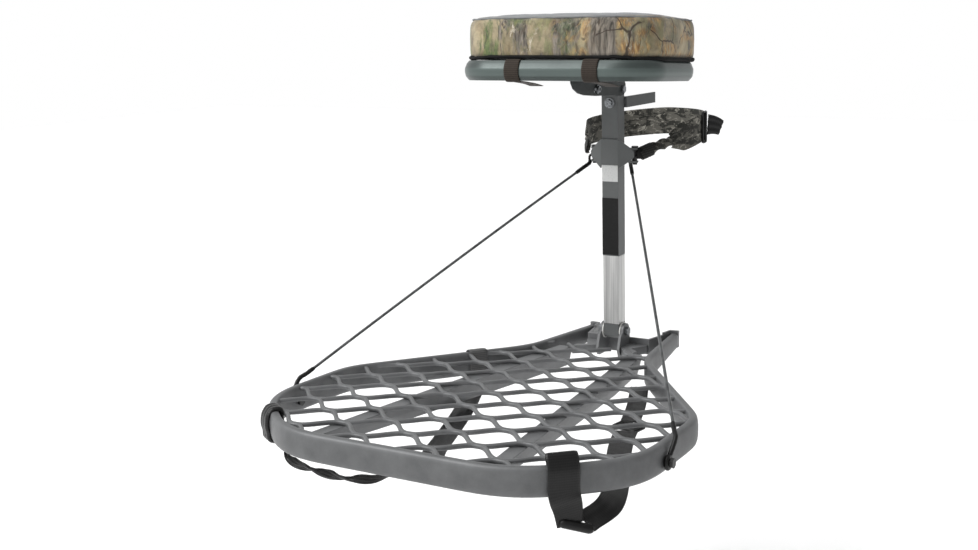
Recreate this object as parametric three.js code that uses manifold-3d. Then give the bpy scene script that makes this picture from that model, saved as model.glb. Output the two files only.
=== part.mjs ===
// A hang-on tree stand: a folding cast platform, a square post, a flip-up seat, two support cables,
// the tree strap as it lies round a trunk, and two carrying straps. Millimetres, +Z up.
// The origin is on the centreline where the trunk touches, level with the platform's surface at the hinge:
// +Y points into the trunk, -Y to the front of the platform; "right" is +X, the viewer's right from in front.
import * as THREE from "three";
import { mergeVertices } from "three/addons/utils/BufferGeometryUtils.js";
import Module from "manifold-3d";

const wasm = await Module();
wasm.setup();

// ---------- driving dimensions ----------
const GAP = 0.3; // between pieces that touch
const PIVOT_Y = -88; // the platform hinge and the post's centre
const PIVOT_Z = 15;
const PLATFORM_RISE = THREE.MathUtils.degToRad(2.1); // the front edge sits a little high when empty

const POST_WIDTH = 30;
const POST_DEPTH = 28;
const POST_WALL = 2.2;
const POST_BOTTOM = 29;
const POST_JOIN = 151; // bare tube below, painted tube above
const POST_TOP = 453;
const POST_FRONT = PIVOT_Y - POST_DEPTH / 2;
const POST_BACK = PIVOT_Y + POST_DEPTH / 2;

const RIM_HALF_WIDTH = 305;
const RIM_FRONT = -715; // measured from the hinge, as all platform lengths are
const RIM_CHAMFER = 122; // the front corners are cut off by this much at 45 degrees
const RIM_CORNER = 120; // radius at each end of the cut
const RIM_SIDE_END = -385;
const RIM_NECK = [115, -112];
const RIM_TIP = [88, 84];
const RIM_HEIGHT = 40;
const TIP_HEIGHT = 28;
const RIM_THICKNESS = 14;
const NOTCH_PLATE = 4.5;
const DECK_TOP = -PIVOT_Z; // the platform's top face, below the hinge axis

const CELL_X = 54; // half a mesh cell across and along the platform
const CELL_Y = 38.5;
const STRAND_WIDTH = 7.5;
const STRAND_HEIGHT = 6.5;
const STRAND_DROP = 2.5; // top of the strands below the rim's top edge
const BOND_HALF = 9.5; // half the length of the bond where two strands meet
const BOND_HEIGHT = 9.5;
const MESH_REAR = -62;

const CABLE_SIDE = -525; // where the cables hold the rim
const CABLE_DROP = 24; // the cables' bolts are this far below the deck
const CABLE_RADIUS = 2.3;
const CABLE_BOW = 2.5; // the stiff coated cable arches a little
const SLEEVE_RADIUS = 3.4;
const UPPER_SLEEVE = 34; // lengths of the sleeves over the cables' ends
const LOWER_SLEEVE = 30;
const LUG_BORE = 4 + GAP;

const WING_TIP = [41, 13.5]; // half width and sweep back of the strap bracket
const WING_BOTTOM = 305;
const WING_NOTCH = 311; // its lower edge across the post's face, over the light label
const WING_TOP = 356;
const WING_PLATE = 3;

const HEAD_BOLT_Z = 418;
const ARM_SWEEP = THREE.MathUtils.degToRad(30);
const ARM_RISE = 5;
const ARM_LENGTH = 62;
const ARM_HEIGHT = 19;
const ARM_PLATE = 4;

const SEAT_CENTRE_Y = -225;
const SEAT_WIDTH = 346;
const SEAT_DEPTH = 244;
const SEAT_CORNER = 72;
const SEAT_RISE = THREE.MathUtils.degToRad(3); // the seat's front sits higher than its back
const SEAT_RAIL_BOTTOM = 456; // just over the post's cap
const SEAT_RAIL_HEIGHT = 32;
const SEAT_RAIL_WIDTH = 24;
const SEAT_PIVOT_Z = 441;
const FIN_PLATE = 3;
const FIN_X = POST_WIDTH / 2 + GAP; // inner face of the seat's side plates
const LEVEL_BOLT = [-191, 447.5]; // Y and Z of the bolt in the levelling slot
const LEVEL_SLOT = { half: 9, rise: 1.6, radius: 4.6 };
// The spacer between the seat's side plates clears the post's corner as the seat flips.
const SPACER = { front: -122, back: -109.5, bottom: 446, top: 454.5 };
const CUSHION_STRAP_WIDTH = 26;
const CUSHION_SHIFT = 10; // the cushion sits this much behind the rail's centre
const CUSHION_BOTTOM = 491;
const CUSHION_THICKNESS = 65;
const CUSHION_CROWN = 5;

const TRUNK_Y = 55;
const TRUNK_RADIUS = 104;
const WEB_WIDTH = 50;
const WEB_THICKNESS = 3;
const CARRY_THICKNESS = 2; // the carrying straps' webbing

// ---------- colours ----------
const paint = { color: 0x6a6d6d, roughness: 0.55, metalness: 0.6 };
const cast = { color: 0x757677, roughness: 0.6, metalness: 0.55 };
const bare = { color: 0xc4c5c6, roughness: 0.35, metalness: 0.9 };
const zinc = { color: 0x8b8e91, roughness: 0.35, metalness: 0.9 };
const seatPaint = { color: 0x768078, roughness: 0.5, metalness: 0.5 };
const black = { color: 0x1c1d1e, roughness: 0.7, metalness: 0 };
const webbing = { color: 0x33332f, roughness: 0.95, metalness: 0 };
const camo = { color: 0x9a8c6c, roughness: 0.95, metalness: 0 };
const nylon = { color: 0xe9e9e4, roughness: 0.5, metalness: 0 };

// ---------- geometry helpers ----------
// A BufferGeometry from a list of corner points and triangles, its faces turned outwards.
function facets(points, triangles) {
  let volume = 0;
  for (const [a, b, c] of triangles) {
    volume += points[a].dot(new THREE.Vector3().crossVectors(points[b], points[c]));
  }
  const order = volume < 0 ? [0, 2, 1] : [0, 1, 2];
  const geometry = new THREE.BufferGeometry().setFromPoints(points);
  geometry.setIndex(triangles.flatMap((t) => order.map((k) => t[k])));
  return geometry;
}

// A body through a row of equal-length rings of points; a closed row joins its last ring to its first.
function loft(rings, closed = false) {
  const n = rings[0].length;
  const triangles = [];
  const spans = closed ? rings.length : rings.length - 1;
  for (let r = 0; r < spans; r++) {
    const near = r * n;
    const far = ((r + 1) % rings.length) * n;
    for (let k = 0; k < n; k++) {
      const next = (k + 1) % n;
      triangles.push([near + k, near + next, far + next], [near + k, far + next, far + k]);
    }
  }
  if (!closed) {
    const last = (rings.length - 1) * n;
    for (let k = 1; k < n - 1; k++) {
      triangles.push([0, k + 1, k], [last, last + k, last + k + 1]);
    }
  }
  return facets(rings.flat(), triangles);
}

// Moves a profile of [outward, up] points along a level path of [x, y] points, mitred at the corners.
// heightAt(index) gives the profile's height scale at that path point.
function sweep(path, profile, { closed = false, heightAt = () => 1 } = {}) {
  const at = path.map(([x, y]) => new THREE.Vector2(x, y));
  const rings = at.map((point, i) => {
    const before = closed || i > 0 ? at[(i - 1 + at.length) % at.length] : null;
    const after = closed || i < at.length - 1 ? at[(i + 1) % at.length] : null;
    const into = before ? point.clone().sub(before).normalize() : null;
    const away = after ? after.clone().sub(point).normalize() : into;
    const along = (into ?? away).clone().add(away).normalize();
    const outward = new THREE.Vector2(along.y, -along.x);
    const mitre = 1 / Math.max(0.5, along.dot(away));
    return profile.map(([o, up]) => {
      const p = point.clone().addScaledVector(outward, o * mitre);
      return new THREE.Vector3(p.x, p.y, up * heightAt(i));
    });
  });
  return loft(rings, closed);
}

// A flat strap through points; side(i) is its width direction at each point, and width may vary along it.
function strap(points, width, thickness, side) {
  const widthAt = typeof width === "function" ? width : () => width;
  const rings = points.map((p, i) => {
    const before = points[Math.max(0, i - 1)];
    const after = points[Math.min(points.length - 1, i + 1)];
    const along = after.clone().sub(before).normalize();
    const across = side(i).clone().addScaledVector(along, -side(i).dot(along)).normalize();
    const out = new THREE.Vector3().crossVectors(along, across);
    return [[-1, -1], [1, -1], [1, 1], [-1, 1]].map(([w, t]) =>
      p.clone().addScaledVector(across, (w * widthAt(i)) / 2).addScaledVector(out, (t * thickness) / 2));
  });
  return loft(rings);
}

const vector = ([x, y, z]) => new THREE.Vector3(x, y, z);

// A round rope along points, as a section swept on a smooth curve.
function rope(points, radius, steps, sides = 8) {
  const curve = new THREE.CatmullRomCurve3(points.map(vector));
  const section = new THREE.Shape(
    new THREE.Path().absarc(0, 0, radius, 0, 2 * Math.PI).getPoints(sides).slice(0, sides));
  return new THREE.ExtrudeGeometry(section, { extrudePath: curve, steps, bevelEnabled: false });
}

// A straight round bar between two points.
function bar(from, to, radius, sides = 16) {
  const a = vector(from);
  const b = vector(to);
  const geometry = new THREE.CylinderGeometry(radius, radius, a.distanceTo(b), sides);
  const turn = new THREE.Quaternion().setFromUnitVectors(
    new THREE.Vector3(0, 1, 0), b.clone().sub(a).normalize());
  return geometry.applyQuaternion(turn).translate(...a.add(b).multiplyScalar(0.5));
}

function box(x0, x1, y0, y1, z0, z1) {
  return new THREE.BoxGeometry(x1 - x0, y1 - y0, z1 - z0)
    .translate((x0 + x1) / 2, (y0 + y1) / 2, (z0 + z1) / 2);
}

// An outline of [x, y] points raised from z0 to z1.
function prism(outline, z0, z1) {
  const shape = new THREE.Shape(outline.map(([x, y]) => new THREE.Vector2(x, y)));
  return new THREE.ExtrudeGeometry(shape, { depth: z1 - z0, bevelEnabled: false }).translate(0, 0, z0);
}

// An outline of [y, z] points, thick from x0 to x1.
function sidePlate(outline, x0, x1) {
  const geometry = prism(outline, x0, x1);
  return geometry.applyMatrix4(new THREE.Matrix4().set(0, 0, 1, 0, 1, 0, 0, 0, 0, 1, 0, 0, 0, 0, 0, 1));
}

// An outline of [x, z] points, thick from y0 to y1.
function frontPlate(outline, y0, y1) {
  return prism(outline, -y1, -y0).rotateX(Math.PI / 2);
}

function solid(geometry) {
  const positions = geometry.getAttribute("position").clone();
  const clean = new THREE.BufferGeometry().setAttribute("position", positions);
  if (geometry.index) clean.setIndex(geometry.index.clone());
  const merged = mergeVertices(clean, 1e-4);
  return new wasm.Manifold(new wasm.Mesh({
    numProp: 3,
    vertProperties: new Float32Array(merged.attributes.position.array),
    triVerts: new Uint32Array(merged.index.array),
  }));
}

function geometryOf(made) {
  const { vertProperties, triVerts } = made.getMesh();
  const geometry = new THREE.BufferGeometry();
  geometry.setAttribute("position", new THREE.BufferAttribute(vertProperties, 3));
  return geometry.setIndex(new THREE.BufferAttribute(triVerts, 1));
}

const joined = (...pieces) => geometryOf(pieces.map(solid).reduce((a, b) => a.add(b)));
const cut = (base, ...tools) => geometryOf(tools.map(solid).reduce((a, b) => a.subtract(b), solid(base)));
const common = (a, b) => geometryOf(solid(a).intersect(solid(b)));

const mirrorPoints = (points) => points.map(([x, ...rest]) => [-x, ...rest]);

const stand = new THREE.Group();
const platform = new THREE.Group(); // its frame is centred on the hinge axis
platform.position.set(0, PIVOT_Y, PIVOT_Z);
platform.rotation.x = -PLATFORM_RISE;
stand.add(platform);

function piece(name, geometry, look, parent = stand) {
  const flat = geometry.index ? geometry.toNonIndexed() : geometry;
  flat.computeVertexNormals();
  const mesh = new THREE.Mesh(flat, new THREE.MeshStandardMaterial(look));
  mesh.name = name;
  parent.add(mesh);
}

// ---------- platform outline ----------
// The right half of the rim's outline, from the middle of the front to the tip beside the trunk.
function rimHalf(inset) {
  const half = RIM_HALF_WIDTH - inset;
  const front = RIM_FRONT + inset;
  const radius = RIM_CORNER - inset;
  const chamfer = RIM_CHAMFER - inset * (2 - Math.SQRT2);
  const tangent = radius * Math.tan(Math.PI / 8);
  const frontCentre = [half - chamfer - tangent, front + radius];
  const sideCentre = [half - radius, front + chamfer + tangent];
  const arc = ([x, y], from) => [0, 15, 30, 45].map((turn) => {
    const angle = THREE.MathUtils.degToRad(from + turn);
    return [x + radius * Math.sin(angle), y - radius * Math.cos(angle)];
  });
  const neck = [RIM_NECK[0] - inset, RIM_NECK[1] - inset * 0.3];
  const tip = [RIM_TIP[0] - inset, RIM_TIP[1]];
  const front45 = [...arc(frontCentre, 0), ...arc(sideCentre, 45)];
  const side = [[half, RIM_SIDE_END - 14], [half - 8, RIM_SIDE_END + 8]];
  return [...front45, ...side, [neck[0] + 10, neck[1] - 16], [neck[0] - 2, neck[1] + 8], tip];
}

// The whole open outline, from the left tip round the front to the right tip.
function rimPath(inset) {
  const right = rimHalf(inset);
  return [...mirrorPoints(right).reverse(), ...right];
}

function platformRim() {
  const t = RIM_THICKNESS / 2;
  const low = -RIM_HEIGHT;
  const profile = [
    [-t + 1, -1.5], [-t + 3, 0], [t - 4, 0], [t - 1.5, -3], [t, -11], [t, -27],
    [t - 1.5, low + 4], [t - 5, low], [-t + 3, low], [-t, low + 4], [-t, -5],
  ];
  const path = rimPath(RIM_THICKNESS / 2);
  const neckPoints = 3;
  const heightAt = (i) => {
    const fromEnd = Math.min(i, path.length - 1 - i);
    const share = Math.min(1, fromEnd / neckPoints);
    return (TIP_HEIGHT + (RIM_HEIGHT - TIP_HEIGHT) * share) / RIM_HEIGHT;
  };
  const rim = sweep(path, profile, { heightAt }).translate(0, 0, DECK_TOP);
  const bores = [-1, 1].map((side) => {
    const [x, y, z] = lugAt(side);
    return bar([x - 30, y, z], [x + 30, y, z], LUG_BORE);
  });
  return cut(rim, ...bores);
}

// ---------- platform mesh ----------
// The deck's openings lie on a staggered grid, as in expanded metal: long hexagons with a strand between
// neighbours on the slopes and a bond, where two strands meet, above and below.
function cellOutline(x, y) {
  const run = CELL_X - 2 * BOND_HALF;
  const length = Math.hypot(run, CELL_Y);
  const [dx, dy] = [run / length, CELL_Y / length];
  const half = STRAND_WIDTH / 2;
  const edgeX = (up) => -CELL_X + BOND_HALF + half / dy + (up * dx) / dy;
  const flat = CELL_Y - BOND_HEIGHT / 2;
  const [end, shoulder] = [edgeX(0), edgeX(flat)];
  return [[end, 0], [shoulder, -flat], [-shoulder, -flat], [-end, 0], [-shoulder, flat], [shoulder, flat]]
    .map(([a, b]) => [x + a, y + b]);
}

const gridX = (u) => (u - 0.37) * CELL_X;
const gridY = (v) => (v - 13.5) * CELL_Y;

// The space inside the rim, clear of it by the gap.
function insideRim() {
  const centreline = rimPath(RIM_THICKNESS / 2);
  const t = RIM_THICKNESS / 2 + GAP;
  const wall = sweep(centreline, [[-t, -60], [t, -60], [t, 60], [-t, 60]]);
  return solid(prism(centreline, -50, 50)).subtract(solid(wall));
}

function platformMesh() {
  const cells = [];
  for (let u = -7; u <= 8; u++) {
    for (let v = -7; v <= 14; v++) {
      if ((u + v) % 2 !== 0) continue;
      cells.push(solid(prism(cellOutline(gridX(u), gridY(v)), -1, STRAND_HEIGHT + 1)));
    }
  }
  const slab = solid(box(-400, 400, -900, MESH_REAR, 0, STRAND_HEIGHT)).intersect(insideRim());
  const whole = slab.subtract(wasm.Manifold.union(cells));
  const largest = whole.decompose().reduce((a, b) => (b.volume() > a.volume() ? b : a));
  return geometryOf(largest).translate(0, 0, DECK_TOP - STRAND_DROP - STRAND_HEIGHT);
}

// ---------- platform braces, notch and hinge ears ----------
function platformBrace(side) {
  const stations = [
    { y: -690, x: 140, width: 20, drop: 20 },
    { y: -560, x: 126, width: 24, drop: 25 },
    { y: -380, x: 106, width: 27, drop: 30 },
    { y: -200, x: 86, width: 27, drop: 34 },
    { y: -60, x: 66, width: 24, drop: 34 },
  ];
  const top = DECK_TOP - STRAND_DROP - STRAND_HEIGHT - GAP;
  const rings = stations.map(({ y, x, width, drop }) => {
    const w = width / 2;
    const middle = -drop * 0.55;
    const right = [[w, 0], [w * 0.7, middle], [w * 0.35, -drop]];
    const section = [...right, ...mirrorPoints(right).reverse()];
    return section.map(([dx, dz]) => new THREE.Vector3(side * (x + dx), y, top + dz));
  });
  return loft(rings);
}

// A bent plate across the back that cups the trunk, with a tooth at each end.
function notchPlate() {
  const half = NOTCH_PLATE / 2;
  const right = [[58, 19], [70, 82]];
  const path = [...mirrorPoints(right).reverse(), ...right];
  const profile = [[-half, 0], [half, 0], [half, -TIP_HEIGHT + 1], [-half, -TIP_HEIGHT + 1]];
  const body = sweep(path, profile).translate(0, 0, DECK_TOP);
  const tooth = (side) => prism(
    [[65, 64], [69, 91], [86, 94], [87, 86.2], [72, 86.2], [69, 63]].map(([x, y]) => [side * x, y]),
    DECK_TOP - TIP_HEIGHT + 2, DECK_TOP + 4);
  return joined(body, tooth(1), tooth(-1));
}

const EAR_X = 17.5;
const EAR_PLATE = 5;
const PIN_RADIUS = 5;
const WASHER_RADIUS = 15.3; // a little over the ears' round ends

function hingeEar(side) {
  const outline = [];
  const steps = 8;
  for (let k = 0; k <= steps; k++) {
    const angle = Math.PI - (k / steps) * Math.PI;
    outline.push([14 * Math.cos(angle), 14 * Math.sin(angle)]);
  }
  outline.push([16.2, -8], [16.2, DECK_TOP - 27], [-24, DECK_TOP - 27], [-30, DECK_TOP - 14], [-22, -6]);
  const x = side * (EAR_X + EAR_PLATE / 2);
  const ear = sidePlate(outline, x - EAR_PLATE / 2, x + EAR_PLATE / 2);
  return cut(ear, bar([x - 9, 0, 0], [x + 9, 0, 0], PIN_RADIUS + GAP));
}

// A flat web from the ear out to the brace and the neck of the rim.
function rearStrut(side) {
  const inner = EAR_X + EAR_PLATE + GAP;
  const outline = [[inner, 14], [inner, -24], [58, -52], [58, -36], [42, -22], [57, 8], [57, 16]];
  return prism(outline.map(([x, y]) => [side * x, y]), DECK_TOP - 24, DECK_TOP - 10);
}

function hexBolt(headAt, nutAt, radius, headSize) {
  const a = vector(headAt);
  const b = vector(nutAt);
  const along = b.clone().sub(a).normalize();
  const out = (p, d) => p.clone().addScaledVector(along, d).toArray();
  return joined(
    bar(out(a, -0.6 * headSize), out(a, 0), headSize, 6),
    bar(out(a, -0.1), out(b, 0.1), radius),
    bar(out(b, 0), out(b, 0.7 * headSize), headSize, 6));
}

function ring(centre, half, outer, inner) {
  const [x, y, z] = centre;
  const disc = bar([x - half, y, z], [x + half, y, z], outer, 20);
  return cut(disc, bar([x - 9, y, z], [x + 9, y, z], inner, 20));
}

// ---------- cables ----------
const lugAt = (side) => [side * (RIM_HALF_WIDTH + GAP), CABLE_SIDE, DECK_TOP - CABLE_DROP];
const toStand = (point) => vector(point).applyEuler(new THREE.Euler(-PLATFORM_RISE, 0, 0))
  .add(new THREE.Vector3(0, PIVOT_Y, PIVOT_Z));
const wingPinAt = (side) => [side * 38, POST_FRONT + 20, 326];
// The right cable's neck leaves its pin to the back, the left one's to the side.
const NECKS = {
  "1": [[35.2, -76.2, 326], [31, -71, 318], [25, -71, 311]],
  "-1": [[-43.5, -82, 326], [-48.2, -82, 322], [-47, -84, 311]],
};

// The ends of a cable: its top at the wing pin, its foot above the lug on the rim.
function cableLine(side) {
  const top = vector(NECKS[side][2]);
  const foot = toStand([lugAt(side)[0] + side * 4.5, CABLE_SIDE + 22, DECK_TOP + 2.5]);
  return { top, foot, along: foot.clone().sub(top).normalize() };
}

function cableGeometry(side) {
  const { top, foot, along } = cableLine(side);
  const a = top.clone().addScaledVector(along, UPPER_SLEEVE + GAP);
  const b = foot.clone().addScaledVector(along, -LOWER_SLEEVE - GAP);
  const steps = 12;
  const points = Array.from({ length: steps + 1 }, (_, k) => {
    const t = k / steps;
    const bow = CABLE_BOW * 4 * t * (1 - t);
    return a.clone().lerp(b, t).add(new THREE.Vector3(0, 0, bow)).toArray();
  });
  return rope(points, CABLE_RADIUS, 12);
}

function upperSleeve(side) {
  const { top, along } = cableLine(side);
  const [x, y, z] = wingPinAt(side);
  const eye = cut(bar([x, y, z - 3.2], [x, y, z + 3.2], 6.4, 12),
    bar([x, y, z - 9], [x, y, z + 9], LUG_BORE, 14));
  const [start, bend, end] = NECKS[side];
  const knob = (at, radius) => new THREE.SphereGeometry(radius, 8, 6).translate(...at);
  const body = bar(end, top.clone().addScaledVector(along, UPPER_SLEEVE).toArray(), SLEEVE_RADIUS, 8);
  return joined(eye, bar(start, bend, 2.2, 8), knob(bend, 2.2), bar(bend, end, 2.2, 8),
    knob(end, SLEEVE_RADIUS), body);
}

// The lower sleeve lies in the platform's frame and ends in the eye on the rim bolt.
function lowerSleeve(side) {
  const { foot, along } = cableLine(side);
  const toPlatform = (p) => p.clone().sub(new THREE.Vector3(0, PIVOT_Y, PIVOT_Z))
    .applyEuler(new THREE.Euler(PLATFORM_RISE, 0, 0)).toArray();
  const [x, y, z] = lugAt(side);
  const eyeX = x + side * 3.6;
  const eye = cut(bar([eyeX - 3.2, y, z], [eyeX + 3.2, y, z], 9.5, 14),
    bar([eyeX - 9, y, z], [eyeX + 9, y, z], LUG_BORE, 12));
  const low = toPlatform(foot);
  const high = toPlatform(foot.clone().addScaledVector(along, -LOWER_SLEEVE));
  return joined(eye, bar([eyeX, y + 4, z + 6], low, SLEEVE_RADIUS, 8),
    new THREE.SphereGeometry(SLEEVE_RADIUS, 8, 6).translate(...low), bar(low, high, SLEEVE_RADIUS, 8));
}

// ---------- post ----------
function squareTube(bottom, top, width, depth, wall) {
  const block = (w, d, z0, z1) => box(-w, w, PIVOT_Y - d, PIVOT_Y + d, z0, z1);
  const [w, d] = [width / 2, depth / 2];
  return cut(block(w, d, bottom, top), block(w - wall, d - wall, bottom - 5, top + 5));
}

function postUpper() {
  return cut(squareTube(POST_JOIN, POST_TOP, POST_WIDTH, POST_DEPTH, POST_WALL),
    bar([0, POST_FRONT - 5, HEAD_BOLT_Z], [0, POST_BACK + 5, HEAD_BOLT_Z], 4 + GAP),
    bar([-20, PIVOT_Y, SEAT_PIVOT_Z], [20, PIVOT_Y, SEAT_PIVOT_Z], 4 + GAP));
}

function postLower() {
  const spigot = POST_WALL + GAP;
  return joined(
    squareTube(POST_BOTTOM, POST_JOIN - GAP, POST_WIDTH - 0.8, POST_DEPTH - 0.8, 4),
    squareTube(POST_JOIN - 12, POST_JOIN + 34, POST_WIDTH - 2 * spigot, POST_DEPTH - 2 * spigot, 1.8));
}

// The fitting that closes the post's foot and carries the hinge bolt.
function postFoot() {
  const w = POST_WIDTH / 2 - 0.6;
  const d = POST_DEPTH / 2;
  const outline = [[PIVOT_Y - d, POST_BOTTOM - GAP], [PIVOT_Y - d, 8], [PIVOT_Y - d + 4, 3],
    [PIVOT_Y + d - 4, 3], [PIVOT_Y + d, 8], [PIVOT_Y + d, POST_BOTTOM - GAP]];
  const plug = box(-10.4, 10.4, PIVOT_Y - 9.4, PIVOT_Y + 9.4, POST_BOTTOM - 5, POST_BOTTOM + 20);
  return cut(joined(sidePlate(outline, -w, w), plug),
    bar([-30, PIVOT_Y, PIVOT_Z], [30, PIVOT_Y, PIVOT_Z], PIN_RADIUS + GAP));
}

function postCap() {
  const w = POST_WIDTH / 2;
  const d = POST_DEPTH / 2;
  const lip = box(-w, w, PIVOT_Y - d, PIVOT_Y + d, POST_TOP + GAP, POST_TOP + 2.5);
  const plug = box(-w + 3, w - 3, PIVOT_Y - d + 3, PIVOT_Y + d - 3, POST_TOP - 2, POST_TOP + 1);
  return joined(lip, plug);
}

// A plate bent round the post's front, with a wing on each side swept back to the trunk.
function wingBracket() {
  const front = POST_FRONT - GAP;
  const [tipX, tipBack] = WING_TIP;
  const edge = POST_WIDTH / 2 + 0.5;
  const outer = [[-tipX, front + tipBack - WING_PLATE], [-edge, front - WING_PLATE],
    [edge, front - WING_PLATE], [tipX, front + tipBack - WING_PLATE]];
  const inner = [[tipX - 1.5, front + tipBack], [edge - 0.6, front], [-edge + 0.6, front],
    [-tipX + 1.5, front + tipBack]];
  const bent = prism([...outer, ...inner], WING_BOTTOM, WING_TOP);
  const right = [[15.5, WING_NOTCH], [16.5, WING_BOTTOM], [38, 321.5], [tipX, 327], [tipX, 333], [38, 337],
    [16, WING_TOP]];
  const hexagon = [...right, ...mirrorPoints(right).reverse()];
  const face = common(bent, frontPlate(hexagon, front - 30, front + 60));
  const lugs = [-1, 1].flatMap((side) => [314.5, 337].map((z) => {
    const [, y] = wingPinAt(side);
    const back = front + 11;
    return prism([[31, back - 3.7], [40.5, back + 1.3], [44, y - 2], [42, y + 6], [33, y + 6], [30, y]]
      .map(([u, v]) => [side * u, v]), z, z + 3);
  }));
  const bores = [-1, 1].map((side) => {
    const [x, y] = wingPinAt(side);
    return bar([x, y, 300], [x, y, 350], 4 + GAP, 14);
  });
  return cut(joined(face, ...lugs), ...bores);
}

function wingPin(side) {
  const [x, y] = wingPinAt(side);
  return joined(bar([x, y, 311], [x, y, 343], 4, 14), bar([x, y, 340.6], [x, y, 343], 6, 14));
}

// The upper stand-off: a bar bent into a U behind the post, its two arms swept back to the trunk.
function standoff() {
  const start = POST_BACK + GAP;
  const half = ARM_HEIGHT / 2;
  const corner = POST_WIDTH / 2 + 4;
  const middle = box(-corner, corner, start, start + ARM_PLATE, HEAD_BOLT_Z - half, HEAD_BOLT_Z + half);
  const arm = (side) => {
    const rings = [0, 1].map((t) => {
      const reach = t * ARM_LENGTH;
      const x = corner - 3 + reach * Math.sin(ARM_SWEEP);
      const y = start + 0.2 + reach * Math.cos(ARM_SWEEP);
      const z = HEAD_BOLT_Z + t * ARM_RISE;
      const h = half * (1 - 0.04 * t);
      return [[0, -h], [0, h], [ARM_PLATE, h], [ARM_PLATE, -h]].map(([d, up]) => new THREE.Vector3(
        side * (x + d * Math.cos(ARM_SWEEP)), y - d * Math.sin(ARM_SWEEP) + ARM_PLATE / 2, z + up));
    });
    return loft(rings);
  };
  return cut(joined(middle, arm(1), arm(-1)),
    bar([0, start - 9, HEAD_BOLT_Z], [0, start + 20, HEAD_BOLT_Z], 4 + GAP));
}

function headBolt() {
  const front = POST_FRONT - GAP;
  const back = POST_BACK + 2 * GAP + ARM_PLATE;
  return joined(
    bar([0, front, HEAD_BOLT_Z], [0, front - 1.6, HEAD_BOLT_Z], 9, 20),
    bar([0, front - 1.5, HEAD_BOLT_Z], [0, front - 6, HEAD_BOLT_Z], 6.2, 6),
    bar([0, front - 1, HEAD_BOLT_Z], [0, back + 1, HEAD_BOLT_Z], 4),
    bar([0, back, HEAD_BOLT_Z], [0, back + 5.5, HEAD_BOLT_Z], 6.5, 6));
}

function label(bottom, top, wrap) {
  const y = POST_FRONT - GAP;
  return box(-POST_WIDTH / 2 + wrap, POST_WIDTH / 2 - wrap, y - 0.5, y, bottom, top);
}

// ---------- seat ----------
function seatPath(inset) {
  const steps = 6;
  const r = SEAT_CORNER - inset;
  const [w, d] = [SEAT_WIDTH / 2 - inset - r, SEAT_DEPTH / 2 - inset - r];
  const path = [];
  for (const [sx, sy, start] of [[1, -1, -90], [1, 1, 0], [-1, 1, 90], [-1, -1, 180]]) {
    for (let k = 0; k <= steps; k++) {
      const angle = THREE.MathUtils.degToRad(start + (k / steps) * 90);
      path.push([sx * w + r * Math.cos(angle), SEAT_CENTRE_Y + sy * d + r * Math.sin(angle)]);
    }
  }
  return path;
}

function seatRail() {
  const [w, h] = [SEAT_RAIL_WIDTH / 2, SEAT_RAIL_HEIGHT];
  const profile = [[-w, h * 0.3], [-w * 0.5, 0], [w * 0.4, 0], [w * 0.86, h * 0.2], [w, h * 0.42],
    [w, h * 0.6], [w * 0.72, h * 0.86], [w * 0.4, h], [-w * 0.5, h], [-w, h * 0.7]];
  return sweep(seatPath(SEAT_RAIL_WIDTH / 2), profile, { closed: true }).translate(0, 0, SEAT_RAIL_BOTTOM);
}

// Turns a piece made level about the line over the seat hinge, so that its front sits higher.
const tilted = (geometry) => geometry.translate(0, -PIVOT_Y, -SEAT_RAIL_BOTTOM)
  .rotateX(-SEAT_RISE).translate(0, PIVOT_Y, SEAT_RAIL_BOTTOM);

const CROSS_PLATE_UP = 8; // underside of the cross plate over the rail's
const SEAT_FRONT_IN = SEAT_CENTRE_Y - SEAT_DEPTH / 2 + SEAT_RAIL_WIDTH + GAP;
const SEAT_BACK_IN = SEAT_CENTRE_Y + SEAT_DEPTH / 2 - SEAT_RAIL_WIDTH - GAP;

function seatCrossPlate() {
  const z = SEAT_RAIL_BOTTOM + CROSS_PLATE_UP;
  const plate = box(-46, 46, SEAT_FRONT_IN, SEAT_BACK_IN, z, z + 4);
  const holes = [-31, 31].map((x) => bar([x, SEAT_CENTRE_Y, z - 5], [x, SEAT_CENTRE_Y, z + 9], 9, 12));
  return cut(plate, ...holes);
}

// Just under the tilted cross plate at a given Y.
const underPlate = (y) => SEAT_RAIL_BOTTOM + (CROSS_PLATE_UP - GAP) / Math.cos(SEAT_RISE)
  + (PIVOT_Y - y) * Math.tan(SEAT_RISE);

const FIN_BACK = [[-96, 430], [-82, 431.5], [-76, 438], [-75, 449], [-79, 454.5], [-128.5, 454.5]];

// The right side plate of the seat bracket: round nose at the front, levelling slot, hinge hole at the back.
function seatFinRight() {
  const under = [[-287, 463], [-279, 453], [-262, 445], [-240, 440.5], [-196, 436.5], [-120, 433],
    [-108, 431]];
  const plate = sidePlate([[-128.5, underPlate(-128.5)], [-288, underPlate(-288)], ...under, ...FIN_BACK],
    FIN_X, FIN_X + FIN_PLATE);
  const [y, z] = LEVEL_BOLT;
  const { half, rise, radius } = LEVEL_SLOT;
  const ends = [-1, 1].map((end) => {
    const [ey, ez] = [y + end * half, z + end * rise];
    return bar([10, ey, ez], [24, ey, ez], radius, 12);
  });
  const lean = 0.8;
  const edge = radius - 0.1;
  const slot = sidePlate([[y - half - lean, z - rise + edge], [y - half + lean, z - rise - edge],
    [y + half + lean, z + rise - edge], [y + half - lean, z + rise + edge]], 10, 24);
  return cut(plate, ...ends, slot, seatHingeBore());
}

// The left side plate is short: it only carries the hinge.
function seatFinLeft() {
  const plate = sidePlate([[-128.5, underPlate(-128.5)], [-150, underPlate(-150)], [-150, 455], [-120, 449],
    [-105, 431], ...FIN_BACK], -FIN_X - FIN_PLATE, -FIN_X);
  return cut(plate, seatHingeBore());
}

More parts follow.
